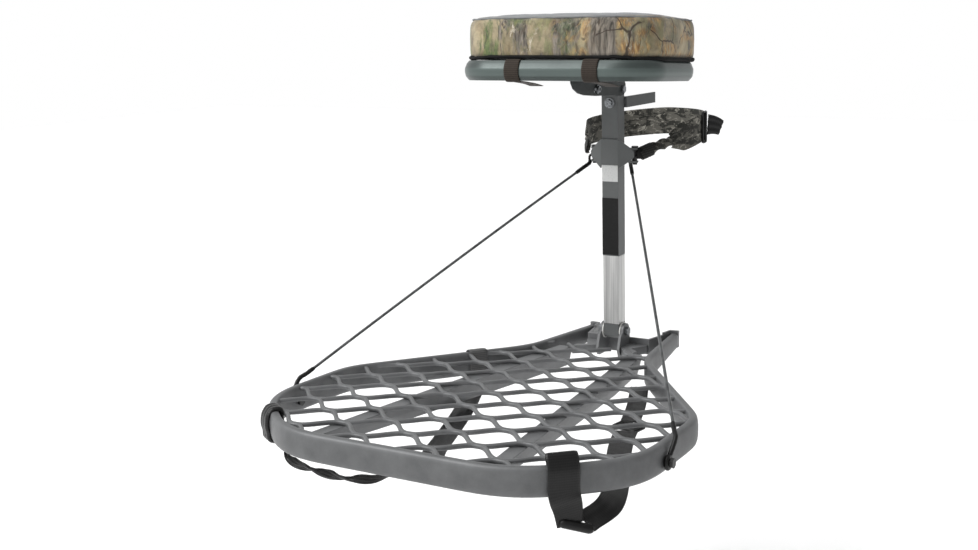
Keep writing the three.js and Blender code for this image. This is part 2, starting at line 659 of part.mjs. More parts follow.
const seatHingeBore = () => bar([-30, PIVOT_Y, SEAT_PIVOT_Z], [30, PIVOT_Y, SEAT_PIVOT_Z], 4 + GAP);

function seatHingeBolt() {
  const x = FIN_X + FIN_PLATE + GAP;
  return hexBolt([x, PIVOT_Y, SEAT_PIVOT_Z], [-x, PIVOT_Y, SEAT_PIVOT_Z], 4, 6.4);
}

// The levelling bolt, clamped in the slot: a washer and a hollow head outside, a nut inside.
function levelBolt() {
  const [y, z] = LEVEL_BOLT;
  const inside = FIN_X - GAP;
  const outside = FIN_X + FIN_PLATE + GAP;
  const along = (x0, x1, radius, sides) => bar([x0, y, z], [x1, y, z], radius, sides);
  const head = cut(along(outside + 1.3, outside + 4.4, 5.6, 12), along(outside + 2, outside + 9, 3.1, 6));
  return joined(along(inside - 3, inside, 6, 6), along(inside - 1, outside + 1, 4, 10),
    along(outside, outside + 1.4, 7.4, 14), head);
}

// The block that keeps the side plates apart in front of the post.
function seatSpacer() {
  return box(-FIN_X + GAP, FIN_X - GAP, SPACER.front, SPACER.back, SPACER.bottom, SPACER.top);
}

// Rounded slab for the padded cushion, its top crowned.
function cushion() {
  const inset = 4;
  const level = (extra, z) => seatPath(inset + extra)
    .map(([x, y]) => new THREE.Vector3(x, y + CUSHION_SHIFT, z));
  const top = CUSHION_BOTTOM + CUSHION_THICKNESS;
  const rings = [level(6, CUSHION_BOTTOM), level(0, CUSHION_BOTTOM + 8), level(0, top - 7), level(7, top),
    level(40, top + CUSHION_CROWN * 0.75), level(64, top + CUSHION_CROWN)];
  return loft(rings);
}

// A webbing loop that ties the cushion down round the front rail.
function cushionStrap(x) {
  const front = SEAT_CENTRE_Y - SEAT_DEPTH / 2;
  const t = 1.4;
  const off = GAP + t / 2 + 0.1;
  const [w, h] = [SEAT_RAIL_WIDTH / 2, SEAT_RAIL_HEIGHT];
  const round = [[0.4 * w + 0.3, h + off], [0.72 * w + 0.9, 0.86 * h + 0.8], [w + off, 0.6 * h],
    [w + off, 0.42 * h], [0.86 * w + 1, 0.2 * h - 0.7], [0.4 * w + 0.4, -off]];
  const loop = [[-w - 20, h + off], ...round, [-w * 0.5, -off], [-w - 26, -off - 1.5]]
    .map(([out, z]) => [w - out, SEAT_RAIL_BOTTOM + z]);
  const points = loop.map(([back, z]) => new THREE.Vector3(x, front + back, z));
  return strap(points, CUSHION_STRAP_WIDTH, t, () => new THREE.Vector3(1, 0, 0));
}

// ---------- tree strap ----------
// The strap's centreline round the trunk: angle 0 is the front of the trunk, positive to the right.
const trunkPoint = (degrees, radius, z) => {
  const a = THREE.MathUtils.degToRad(degrees);
  return new THREE.Vector3(radius * Math.sin(a), TRUNK_Y - radius * Math.cos(a), z);
};

function webHeight(degrees) {
  const keys = [[62, 353], [80, 360], [100, 365], [180, 366], [250, 356], [300, 350]];
  const next = keys.findIndex(([a]) => a > degrees);
  const k = next < 0 ? keys.length - 2 : Math.max(0, next - 1);
  const [[a0, z0], [a1, z1]] = [keys[k], keys[k + 1]];
  return THREE.MathUtils.lerp(z0, z1, (degrees - a0) / (a1 - a0));
}

// The web is gathered where it leaves its two ends and lies flat round the trunk.
function treeWeb() {
  const radius = TRUNK_RADIUS + WEB_THICKNESS / 2 + 1;
  const points = [[80, -21, 346.5], [87, -8, 350]].map(vector);
  for (let a = 66; a <= 296; a += 10) {
    points.push(trunkPoint(a, radius, webHeight(a)));
  }
  points.push(...[[-88, -8, 348], [-82, -21, 345]].map(vector));
  const widths = [0.5, 0.72, 0.9];
  const side = () => new THREE.Vector3(0, 0, 1);
  const widthAt = (i) => (widths[Math.min(i, points.length - 1 - i)] ?? 1) * WEB_WIDTH;
  return strap(points, widthAt, WEB_THICKNESS, side);
}

function strapWrap() {
  return rope([[51.5, -78, 331], [55, -72, 333.5], [59, -65, 336], [62, -58, 338]], 12, 4, 9);
}

function strapLink() {
  return rope([[64, -52, 339], [68, -44, 341], [73, -35, 343], [77, -28, 344.5]], 10, 4, 9);
}

function strapKeeper() {
  const radius = TRUNK_RADIUS + WEB_THICKNESS + 3.4;
  const points = [90, 94.7, 99.3, 104].map((a) => trunkPoint(a, radius, webHeight(97)));
  return strap(points, WEB_WIDTH + 6, 3, () => new THREE.Vector3(0, 0, 1));
}

function strapTail() {
  const out = [0, 9, 17, 24];
  const radius = TRUNK_RADIUS + WEB_THICKNESS + 6;
  const points = out.map((d, k) => trunkPoint(107 + 1.5 * k, radius + d, 367 - 0.012 * d * d));
  return strap(points, 36, 2, () => new THREE.Vector3(0, 0, 1));
}

function strapHook() {
  return rope([[-51.5, -79, 334], [-56, -70, 336], [-66, -50, 340], [-76, -31, 343]], 8, 6, 9);
}

// ---------- carrying straps ----------
// A webbing loop over the rim at [x, y] on its centreline, facing outwards at an angle. The tail lists where
// it goes below the rim: out, up and along.
function rimLoop([x, y], angle, width, tail) {
  const turn = THREE.MathUtils.degToRad(angle);
  const r = RIM_THICKNESS / 2;
  const off = 2.2;
  const hang = [[-r + 1.5, off], [r - 3, off - 0.2], [r + 1, -0.5], [r + off, -9], [r + off, -30], ...tail];
  const outwards = new THREE.Vector3(Math.cos(turn), Math.sin(turn), 0);
  const sideways = new THREE.Vector3(-Math.sin(turn), Math.cos(turn), 0);
  const points = hang.map(([out, up, along = 0]) => new THREE.Vector3(x, y, DECK_TOP + up)
    .addScaledVector(outwards, out).addScaledVector(sideways, along));
  return strap(points, width, CARRY_THICKNESS, () => sideways);
}

// A run of webbing under the deck, lying level across its width.
function underRun(points, width) {
  const line = points.map(([x, y, up]) => new THREE.Vector3(x, y, DECK_TOP + up));
  const side = (i) => {
    const before = line[Math.max(0, i - 1)];
    const after = line[Math.min(line.length - 1, i + 1)];
    return new THREE.Vector3(after.y - before.y, before.x - after.x, 0).normalize();
  };
  return strap(line, width, CARRY_THICKNESS, side);
}

// A flat plastic buckle: centre, the direction of its length, and its size along, across and through.
function buckle([x, y, up], along, [length, breadth, depth]) {
  const turn = new THREE.Quaternion().setFromUnitVectors(
    new THREE.Vector3(1, 0, 0), vector(along).normalize());
  return box(-length / 2, length / 2, -breadth / 2, breadth / 2, -depth / 2, depth / 2)
    .applyQuaternion(turn).translate(x, y, DECK_TOP + up);
}

// ---------- assembly ----------
piece("platform_rim", platformRim(), cast, platform);
piece("platform_mesh", platformMesh(), cast, platform);
piece("trunk_notch_plate", notchPlate(), cast, platform);
for (const [side, word] of [[1, "right"], [-1, "left"]]) {
  piece(`platform_brace_${word}`, platformBrace(side), cast, platform);
  piece(`hinge_ear_${word}`, hingeEar(side), cast, platform);
  piece(`rear_strut_${word}`, rearStrut(side), cast, platform);
}
const pinEnd = EAR_X + EAR_PLATE + GAP;
piece("hinge_bolt", hexBolt([pinEnd, 0, 0], [-pinEnd, 0, 0], PIN_RADIUS, 8), zinc, platform);

for (const [side, word] of [[1, "right"], [-1, "left"]]) {
  const x = EAR_X - GAP;
  const washer = ring([side * (x - 1), 0, 0], 0.9, WASHER_RADIUS, PIN_RADIUS + GAP);
  piece(`hinge_washer_${word}`, washer, nylon, platform);
  const [lx, ly, lz] = lugAt(side);
  piece(`cable_bolt_${word}`, hexBolt([lx + side * 7.6, ly, lz],
    [side * (RIM_HALF_WIDTH - RIM_THICKNESS - GAP), ly, lz], 4, 7), zinc, platform);
  piece(`cable_sleeve_lower_${word}`, lowerSleeve(side), black, platform);
}
piece("post_tube_painted", postUpper(), paint);
piece("post_tube_bare", postLower(), bare);
piece("post_foot", postFoot(), paint);
piece("post_cap", postCap(), black);
piece("label_white", label(282, 310.6, 0.5), nylon);
piece("label_dark", label(153, 253, -0.2), black);
piece("wing_bracket", wingBracket(), paint);
piece("standoff_bracket", standoff(), paint);
piece("head_bolt", headBolt(), zinc);
piece("seat_hinge_bolt", seatHingeBolt(), zinc);
for (const [side, word] of [[1, "right"], [-1, "left"]]) {
  piece(`wing_pin_${word}`, wingPin(side), zinc);
  piece(`cable_sleeve_upper_${word}`, upperSleeve(side), black);
  piece(`support_cable_${word}`, cableGeometry(side), black);
}
piece("cushion_strap_right", tilted(cushionStrap(76)), webbing);
piece("cushion_strap_left", tilted(cushionStrap(-58)), webbing);
piece("seat_fin_right", seatFinRight(), paint);
piece("seat_fin_left", seatFinLeft(), paint);
piece("seat_rail", tilted(seatRail()), seatPaint);
piece("seat_cross_plate", tilted(seatCrossPlate()), seatPaint);
piece("level_bolt", levelBolt(), zinc);
piece("seat_spacer", seatSpacer(), paint);
piece("seat_cushion", tilted(cushion()), camo);
piece("tree_strap_web", treeWeb(), webbing);
piece("tree_strap_wrap", strapWrap(), webbing);
piece("tree_strap_link", strapLink(), webbing);
piece("tree_strap_keeper", strapKeeper(), black);
piece("tree_strap_tail", strapTail(), webbing);
piece("tree_strap_hook", strapHook(), webbing);

// The right strap: down from its loop to the buckle, back under the deck, through the slider and to the rear.
const loopDown = [[9, -42, 2], [5, -54, 7], [2, -62, 10]];
const buckleToSlider = [[253, -634, -74], [263, -604, -62], [246, -545, -52], [212, -462, -47],
  [189, -395, -46], [180, -365, -46]];
const sliderToRear = [[167, -315, -45], [146, -245, -42], [114, -156, -38]];
piece("carry_loop_right", rimLoop([224, -664], -45, 42, loopDown), webbing, platform);
piece("carry_buckle_right", buckle([240, -654, -78], [0.75, 0.6, -0.3], [46, 12, 9]), black, platform);
piece("carry_run_right", underRun(buckleToSlider, 34), webbing, platform);
piece("carry_slider_right", buckle([174, -340, -46], [0.98, -0.2, 0], [46, 30, 7]), black, platform);
piece("carry_run_rear_right", underRun(sliderToRear, 30), webbing, platform);

// The left strap: from its loop it is twisted into a cord along the front, then runs flat to the left side.
const loopUnder = [[9, -41], [4, -43.5], [-8, -44]];
const twist = [[-232, -634, -47], [-196, -668, -60], [-132, -681, -63], [-88, -690, -61], [-45, -690, -60],
  [-8, -668, -56], [8, -642, -50]].map(([x, y, up]) => [x, y, DECK_TOP + up]);
const twistToSide = [[10, -632, -50], [-20, -572, -50], [-44, -505, -51], [-76, -415, -52], [-112, -322, -52],
  [-150, -232, -50]];
piece("carry_loop_left", rimLoop([-246, -642], -135, 30, loopUnder), webbing, platform);
piece("carry_twist_left", rope(twist, 5.5, 14), webbing, platform);
piece("carry_run_left", underRun(twistToSide, 34), webbing, platform);
piece("carry_anchor_left", rimLoop([-167, -200], 145, 32, loopUnder), webbing, platform);

export default stand;
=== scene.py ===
"""The looks of a hang-on tree stand: cast platform, post, cables, padded seat and straps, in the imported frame."""
import math

import bmesh
import bpy
import numpy as np
from mathutils import Matrix, Vector, noise


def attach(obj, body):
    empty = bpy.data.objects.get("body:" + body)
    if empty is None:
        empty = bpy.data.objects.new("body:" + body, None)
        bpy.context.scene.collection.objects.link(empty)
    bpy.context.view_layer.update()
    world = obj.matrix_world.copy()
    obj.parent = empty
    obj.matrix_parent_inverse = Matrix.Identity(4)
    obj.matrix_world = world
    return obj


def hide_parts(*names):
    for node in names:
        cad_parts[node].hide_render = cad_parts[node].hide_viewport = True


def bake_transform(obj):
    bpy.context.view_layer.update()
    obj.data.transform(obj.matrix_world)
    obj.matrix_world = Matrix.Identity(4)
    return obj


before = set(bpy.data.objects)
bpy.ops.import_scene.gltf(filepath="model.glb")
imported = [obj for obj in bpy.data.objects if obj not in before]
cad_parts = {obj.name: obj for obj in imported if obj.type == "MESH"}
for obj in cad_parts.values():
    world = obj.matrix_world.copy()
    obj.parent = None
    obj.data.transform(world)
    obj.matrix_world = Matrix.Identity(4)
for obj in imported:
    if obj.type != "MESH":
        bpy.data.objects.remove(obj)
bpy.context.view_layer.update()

MM = 0.001

# ---------- driving dimensions, in millimetres in the row frame ----------
PIVOT = Vector((0, -88, 15))  # the platform's hinge axis
PLATFORM_RISE = math.radians(2.1)
DECK_TOP = -15  # the platform's top face in its own frame, which is centred on the hinge
RIM_HALF_WIDTH, RIM_FRONT, RIM_CHAMFER, RIM_CORNER = 305, -715, 122, 120
RIM_SIDE_END, RIM_NECK, RIM_TIP = -385, (115, -112), (88, 84)
RIM_THICKNESS, TIP_SHARE = 14, 0.7
CELL_X, CELL_Y, STRAND_WIDTH, STRAND_HEIGHT, STRAND_DROP = 54, 38.5, 6.4, 6.2, 2.2
MESH_REAR = -62
CABLE_SIDE, CABLE_DROP = -525, 24
SEAT_RISE = math.radians(3)
SEAT_BASE = Vector((0, -88, 456))  # the seat leans about this line
SEAT_CENTRE, SEAT_WIDTH, SEAT_DEPTH, SEAT_CORNER = -225, 346, 244, 72
RAIL_HEIGHT, RAIL_WIDTH = 32, 24
CUSHION_SHIFT, CUSHION_UP, CUSHION_THICK = 10, 35, 65
TRUNK_Y, TRUNK_RADIUS, WEB_WIDTH, WEB_THICK = 55, 104, 50, 3


# ---------- places ----------
def deck(x, y, up=0.0):
    """A point on the platform: across, along from the hinge, and up from its top face."""
    turn = Matrix.Rotation(-PLATFORM_RISE, 3, "X")
    return (turn @ Vector((x, y, DECK_TOP + up)) + PIVOT) * MM


def seat(x, y, up=0.0):
    """A point on the leaning seat: across, along in the row frame, and up from the rail's underside."""
    turn = Matrix.Rotation(-SEAT_RISE, 3, "X")
    return (turn @ Vector((x, y - SEAT_BASE.y, up)) + SEAT_BASE) * MM


def row(x, y, z):
    return Vector((x, y, z)) * MM


def spline(points, step=3.0):
    """Points close together on a smooth curve through the given ones. step is in millimetres."""
    p = [Vector(q) for q in points]
    p = [p[0] * 2 - p[1]] + p + [p[-1] * 2 - p[-2]]
    out = []
    for a, b, c, d in zip(p, p[1:], p[2:], p[3:]):
        count = max(2, int((c - b).length / (step * MM)))
        for k in range(count):
            t = k / count
            out.append(0.5 * (2 * b + (c - a) * t + (2 * a - 5 * b + 4 * c - d) * t * t
                              + (3 * b - a - 3 * c + d) * t ** 3))
    return out + [p[-2]]


def tangents(points, closed=False):
    n = len(points)
    if closed:
        return [(points[(i + 1) % n] - points[i - 1]).normalized() for i in range(n)]
    return [(points[min(n - 1, i + 1)] - points[max(0, i - 1)]).normalized() for i in range(n)]


# ---------- mesh helpers ----------
def mesh_piece(name, vertices, faces, material, smooth=True, uv=None):
    mesh = bpy.data.meshes.new(name)
    mesh.from_pydata([tuple(v) for v in vertices], [], faces)
    if uv is not None:
        layer = mesh.uv_layers.new(name="UVMap")
        for loop in mesh.loops:
            layer.data[loop.index].uv = uv[loop.vertex_index]
    mesh.validate()
    piece = bpy.data.objects.new(name, mesh)
    bpy.context.scene.collection.objects.link(piece)
    mesh.materials.append(material)
    work = bmesh.new()
    work.from_mesh(mesh)
    bmesh.ops.recalc_face_normals(work, faces=work.faces)
    work.to_mesh(mesh)
    work.free()
    mesh.shade_smooth() if smooth else mesh.shade_flat()
    return piece


def rings_piece(name, rings, material, closed=False, smooth=True, uv=None):
    """A skin over equal rings of points, capped at its ends unless it closes on itself."""
    n = len(rings[0])
    count = len(rings)
    faces = []
    for r in range(count if closed else count - 1):
        near, far = r * n, ((r + 1) % count) * n
        faces += [(near + k, near + (k + 1) % n, far + (k + 1) % n, far + k) for k in range(n)]
    if not closed:
        faces += [tuple(range(n)), tuple(range((count - 1) * n, count * n))]
    return mesh_piece(name, [p for ring in rings for p in ring], faces, material, smooth, uv)


def tube(name, points, radius, material, sides=12, closed=False, lobes=0, twist=0.0):
    """A round cord along points; radius is a number or a function of the share of its length, both in mm.
    lobes gives it twisted strands that turn by twist radians for each millimetre."""
    along = tangents(points, closed)
    side = along[0].orthogonal().normalized()
    rings, gone = [], 0.0
    for i, (p, t) in enumerate(zip(points, along)):
        side = (side - t * side.dot(t)).normalized()
        up = t.cross(side)
        gone += (p - points[i - 1]).length / MM if i else 0.0
        r = radius(i / (len(points) - 1)) if callable(radius) else radius
        ring = []
        for k in range(sides):
            angle = 2 * math.pi * k / sides
            bump = 1 + 0.11 * math.cos(lobes * angle + twist * gone) if lobes else 1
            ring.append(p + (side * math.cos(angle) + up * math.sin(angle)) * r * bump * MM)
        rings.append(ring)
    return rings_piece(name, rings, material, closed)


def webbing(name, points, width, thick, side, material, folds=None, closed=False):
    """A flat strap along points. width and folds may be functions of the share of its length; side(i, share)
    gives the direction of its width. folds is how deep it is pleated across, in millimetres."""
    along = tangents(points, closed)
    across_count = 15
    rings, uv, gone = [], [], 0.0
    for i, (p, t) in enumerate(zip(points, along)):
        share = i / (len(points) - 1)
        gone += (p - points[i - 1]).length if i else 0.0
        s = side(i, share)
        s = (s - t * s.dot(t)).normalized()
        out = t.cross(s)
        w = width(share) if callable(width) else width
        f = folds(share) if folds else 0.0
        top, low = [], []
        for k in range(across_count):
            q = k / (across_count - 1) * 2 - 1
            half = thick / 2 * (1 - 0.75 * abs(q) ** 9)
            lift = f * math.cos(q * 3 * math.pi) + 0.05 * math.sin(gone * 260 + q * 2)
            top.append((p + (s * q * w / 2 + out * (lift + half)) * MM, (q * w * MM / 2, gone)))
            low.append((p + (s * q * w / 2 + out * (lift - half)) * MM, (q * w * MM / 2, gone)))
        ring = top + low[::-1]
        rings.append([point for point, _ in ring])
        uv += [place for _, place in ring]
    return rings_piece(name, rings, material, closed, uv=uv)


def join(name, pieces):
    """One object made of several, keeping their materials."""
    with bpy.context.temp_override(active_object=pieces[0], selected_editable_objects=pieces):
        bpy.ops.object.join()
    pieces[0].name = name
    return pieces[0]


def ring_points(centre, axis, radius, count=28):
    a = Vector(axis).normalized()
    side = a.orthogonal().normalized()
    up = a.cross(side)
    turn = [2 * math.pi * k / count for k in range(count)]
    return [centre + (side * math.cos(t) + up * math.sin(t)) * radius * MM for t in turn]


def placed(piece, body, slot, *nodes):
    """The piece moves with a body and stands for CAD nodes, which it hides. slot is not used."""
    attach(piece, body)
    if nodes:
        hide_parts(*nodes)
    return piece


# ---------- materials ----------
class Nodes:
    """A short way to write a material's nodes."""

    def __init__(self, name):
        self.material = bpy.data.materials.new(name)
        self.material.use_nodes = True
        self.tree = self.material.node_tree
        self.shader = self.tree.nodes["Principled BSDF"]
        self.place = self.tree.nodes.new("ShaderNodeTexCoord").outputs["Object"]

    def new(self, kind, inputs=None, **settings):
        node = self.tree.nodes.new("ShaderNode" + kind)
        for key, value in settings.items():
            setattr(node, key, value)
        for key, value in (inputs or {}).items():
            if isinstance(value, bpy.types.NodeSocket):
                self.tree.links.new(value, node.inputs[key])
            else:
                node.inputs[key].default_value = value
        return node

    def stretched(self, scale, place=None):
        return self.new("Mapping", {"Vector": place or self.place, "Scale": scale}).outputs[0]

    def noise(self, size, detail=3.0, rough=0.5, place=None, warp=0.0):
        return self.new("TexNoise", {"Vector": place or self.place, "Scale": 1 / (size * MM), "Detail": detail,
                                     "Roughness": rough, "Distortion": warp}).outputs["Fac"]

    def ramp(self, fac, stops):
        node = self.new("ValToRGB", {"Fac": fac})
        elements = node.color_ramp.elements
        while len(elements) < len(stops):
            elements.new(0.5)
        for element, (at, value) in zip(elements, stops):
            element.position = at
            element.color = (value,) * 3 + (1,) if isinstance(value, (int, float)) else (*value, 1)
        return node.outputs["Color"]

    def mix(self, fac, a, b, blend="MIX"):
        node = self.new("Mix", data_type="RGBA", blend_type=blend)
        for index, value in ((0, fac), (6, a), (7, b)):
            if isinstance(value, bpy.types.NodeSocket):
                self.tree.links.new(value, node.inputs[index])
            else:
                node.inputs[index].default_value = value if index == 0 else (*value, 1)
        return node.outputs[2]

    def math(self, operation, a, b=0.5):
        return self.new("Math", {0: a, 1: b}, operation=operation).outputs[0]

    def set(self, **values):
        for key, value in values.items():
            socket = self.shader.inputs[key.replace("_", " ")]
            if isinstance(value, bpy.types.NodeSocket):
                self.tree.links.new(value, socket)
            else:
                socket.default_value = (*value, 1) if isinstance(value, tuple) else value

    def bump(self, height, depth, strength=1.0, edge=0.0):
        """depth is in millimetres; edge rounds sharp edges by that much."""
        inputs = {"Height": height, "Distance": depth * MM, "Strength": strength}
        if edge:
            inputs["Normal"] = self.new("Bevel", {"Radius": edge * MM}).outputs[0]
        normal = self.new("Bump", inputs).outputs[0]
        self.tree.links.new(normal, self.shader.inputs["Normal"])


def rgb(red, green, blue):
    """A colour given in the 0 to 255 of a screen, as the linear values that a shader takes."""
    return tuple(((c / 255 + 0.055) / 1.055) ** 2.4 if c > 10 else c / 255 / 12.92 for c in (red, green, blue))


def powder_coat(name, colour, lighter, roughness=0.5, metal=0.35, grain=0.9, depth=0.05, edge=0.8, painted_side_light=0.0):
    """The last argument paints a highlight: how much lighter the upright faces are painted than those that face up or
    down, for the light that falls on them.
    """
    n = Nodes(name)
    patches = n.noise(38, 4, 0.6)
    fine = n.noise(grain, 2, 0.6)
    speck = n.noise(1.4, 1, 0.5)
    worn = n.ramp(n.new("NewGeometry").outputs["Pointiness"], [(0.49, 0.0), (0.56, 1.0)])
    base = n.mix(n.ramp(patches, [(0.3, 0.0), (0.75, 1.0)]), colour, lighter)
    base = n.mix(n.math("MULTIPLY", n.ramp(speck, [(0.55, 0.0), (0.75, 1.0)]), 0.25), base, lighter)
    base = n.mix(n.math("MULTIPLY", worn, 0.45), base, tuple(min(1, c * 1.7 + 0.02) for c in lighter))
    # painted highlight: upright faces are painted lighter for the light that falls on them, faces pointing up or down
    # stay darker
    if painted_side_light:
        facing = n.new("SeparateXYZ", {0: n.new("TexCoord").outputs["Normal"]}).outputs["Z"]
        upright = n.ramp(n.math("ABSOLUTE", facing), [(0.25, 1.0), (0.4, 0.0)])
        base = n.mix(n.math("MULTIPLY", upright, painted_side_light), base, tuple(min(1, c * 2.0) for c in lighter))
    n.set(Base_Color=base, Metallic=metal,
          Roughness=n.math("ADD", n.math("MULTIPLY", fine, 0.22), roughness - 0.1))
    n.bump(fine, depth, 0.8, edge)
    return n.material


def bare_tube():
    n = Nodes("bare_aluminium")
    streaks = n.noise(1.0, 3, 0.6, n.stretched((1.0, 1.0, 0.012)))
    broad = n.noise(7.0, 2, 0.5, n.stretched((1.0, 1.0, 0.02)))
    scuff = n.noise(9.0, 5, 0.7)
    base = n.mix(n.ramp(streaks, [(0.3, 0.0), (0.7, 1.0)]), rgb(168, 168, 168), rgb(212, 212, 210))
    base = n.mix(n.math("MULTIPLY", n.ramp(broad, [(0.45, 0.0), (0.7, 1.0)]), 0.5), base, rgb(140, 140, 140))
    base = n.mix(n.math("MULTIPLY", n.ramp(scuff, [(0.62, 0.0), (0.75, 1.0)]), 0.3), base, rgb(120, 120, 120))
    n.set(Base_Color=base, Metallic=0.75, Roughness=n.math("ADD", n.math("MULTIPLY", streaks, 0.25), 0.28))
    n.bump(streaks, 0.03, 0.7, 1.6)
    return n.material


def zinc():
    n = Nodes("zinc_plate")
    cloud = n.noise(3.0, 4, 0.65)
    fine = n.noise(0.5, 2, 0.5)
    base = n.mix(n.ramp(cloud, [(0.35, 0.0), (0.7, 1.0)]), rgb(92, 94, 96), rgb(160, 163, 166))
    n.set(Base_Color=base, Metallic=0.9, Roughness=n.math("ADD", n.math("MULTIPLY", cloud, 0.25), 0.25))
    n.bump(fine, 0.03, 0.6, 0.5)
    return n.material


def moulded(name, colour, lighter, roughness=0.5, depth=0.05, edge=0.5, gloss=0.5):
    n = Nodes(name)
    grain = n.noise(0.7, 3, 0.6)
    cloud = n.noise(14, 3, 0.5)
    n.set(Base_Color=n.mix(n.ramp(cloud, [(0.35, 0.0), (0.75, 1.0)]), colour, lighter),
          Roughness=n.math("ADD", n.math("MULTIPLY", grain, 0.25), roughness - 0.1), Specular_IOR_Level=gloss)
    n.bump(grain, depth, 0.7, edge)
    return n.material


def woven_strap(name, dark, light, rib=1.5, flecks=None, shine=0.82, gloss=0.2):
    """Webbing with ribs across its width and a finer thread between them, on its own along-and-across map."""
    n = Nodes(name)
    n.place = n.new("TexCoord").outputs["UV"]
    ribs = n.new("TexWave", {"Vector": n.place, "Scale": 1 / (rib * MM) / 3.1416 * 0.5, "Distortion": 0.6,
                             "Detail": 1.0, "Detail Scale": 2.0}, wave_type="BANDS", bands_direction="Y").outputs["Fac"]
    threads = n.new("TexWave", {"Vector": n.place, "Scale": 1 / (1.1 * MM) / 3.1416 * 0.5, "Distortion": 0.5,
                                "Detail": 1.0}, wave_type="BANDS", bands_direction="X").outputs["Fac"]
    weave = n.mix(0.45, ribs, threads)
    fuzz = n.noise(0.5, 3, 0.7)
    cloud = n.noise(22, 3, 0.6)
    base = n.mix(n.ramp(weave, [(0.2, 0.0), (0.85, 1.0)]), dark, light)
    if flecks:
        patch = n.noise(13, 4, 0.65, n.stretched((1.0, 0.45, 1.0)), 0.8)
        base = n.mix(n.ramp(patch, [(0.47, 0.0), (0.53, 0.85)]), base, flecks[0])
        other = n.noise(9, 4, 0.7, n.stretched((0.8, 0.4, 1.7)), 1.2)
        base = n.mix(n.ramp(other, [(0.56, 0.0), (0.62, 0.9)]), base, flecks[1])
    base = n.mix(n.math("MULTIPLY", n.ramp(cloud, [(0.4, 0.0), (0.8, 1.0)]), 0.35), base, light)
    n.set(Base_Color=base, Roughness=shine, Specular_IOR_Level=gloss, Sheen_Weight=0.05, Sheen_Roughness=0.4)
    n.bump(n.mix(0.25, weave, fuzz), 0.3, 0.8)
    return n.material


def cloth_bump(n, size=0.9):
    """A plain weave on the row frame's axes, so it needs no map."""
    scale = 1 / (size * MM) / 3.1416 * 0.5
    waves = [n.new("TexWave", {"Vector": n.place, "Scale": scale, "Distortion": 1.5, "Detail": 1.5},
                   wave_type="BANDS", bands_direction=axis).outputs["Fac"] for axis in "XYZ"]
    return n.mix(0.5, n.mix(0.5, waves[0], waves[1]), waves[2])


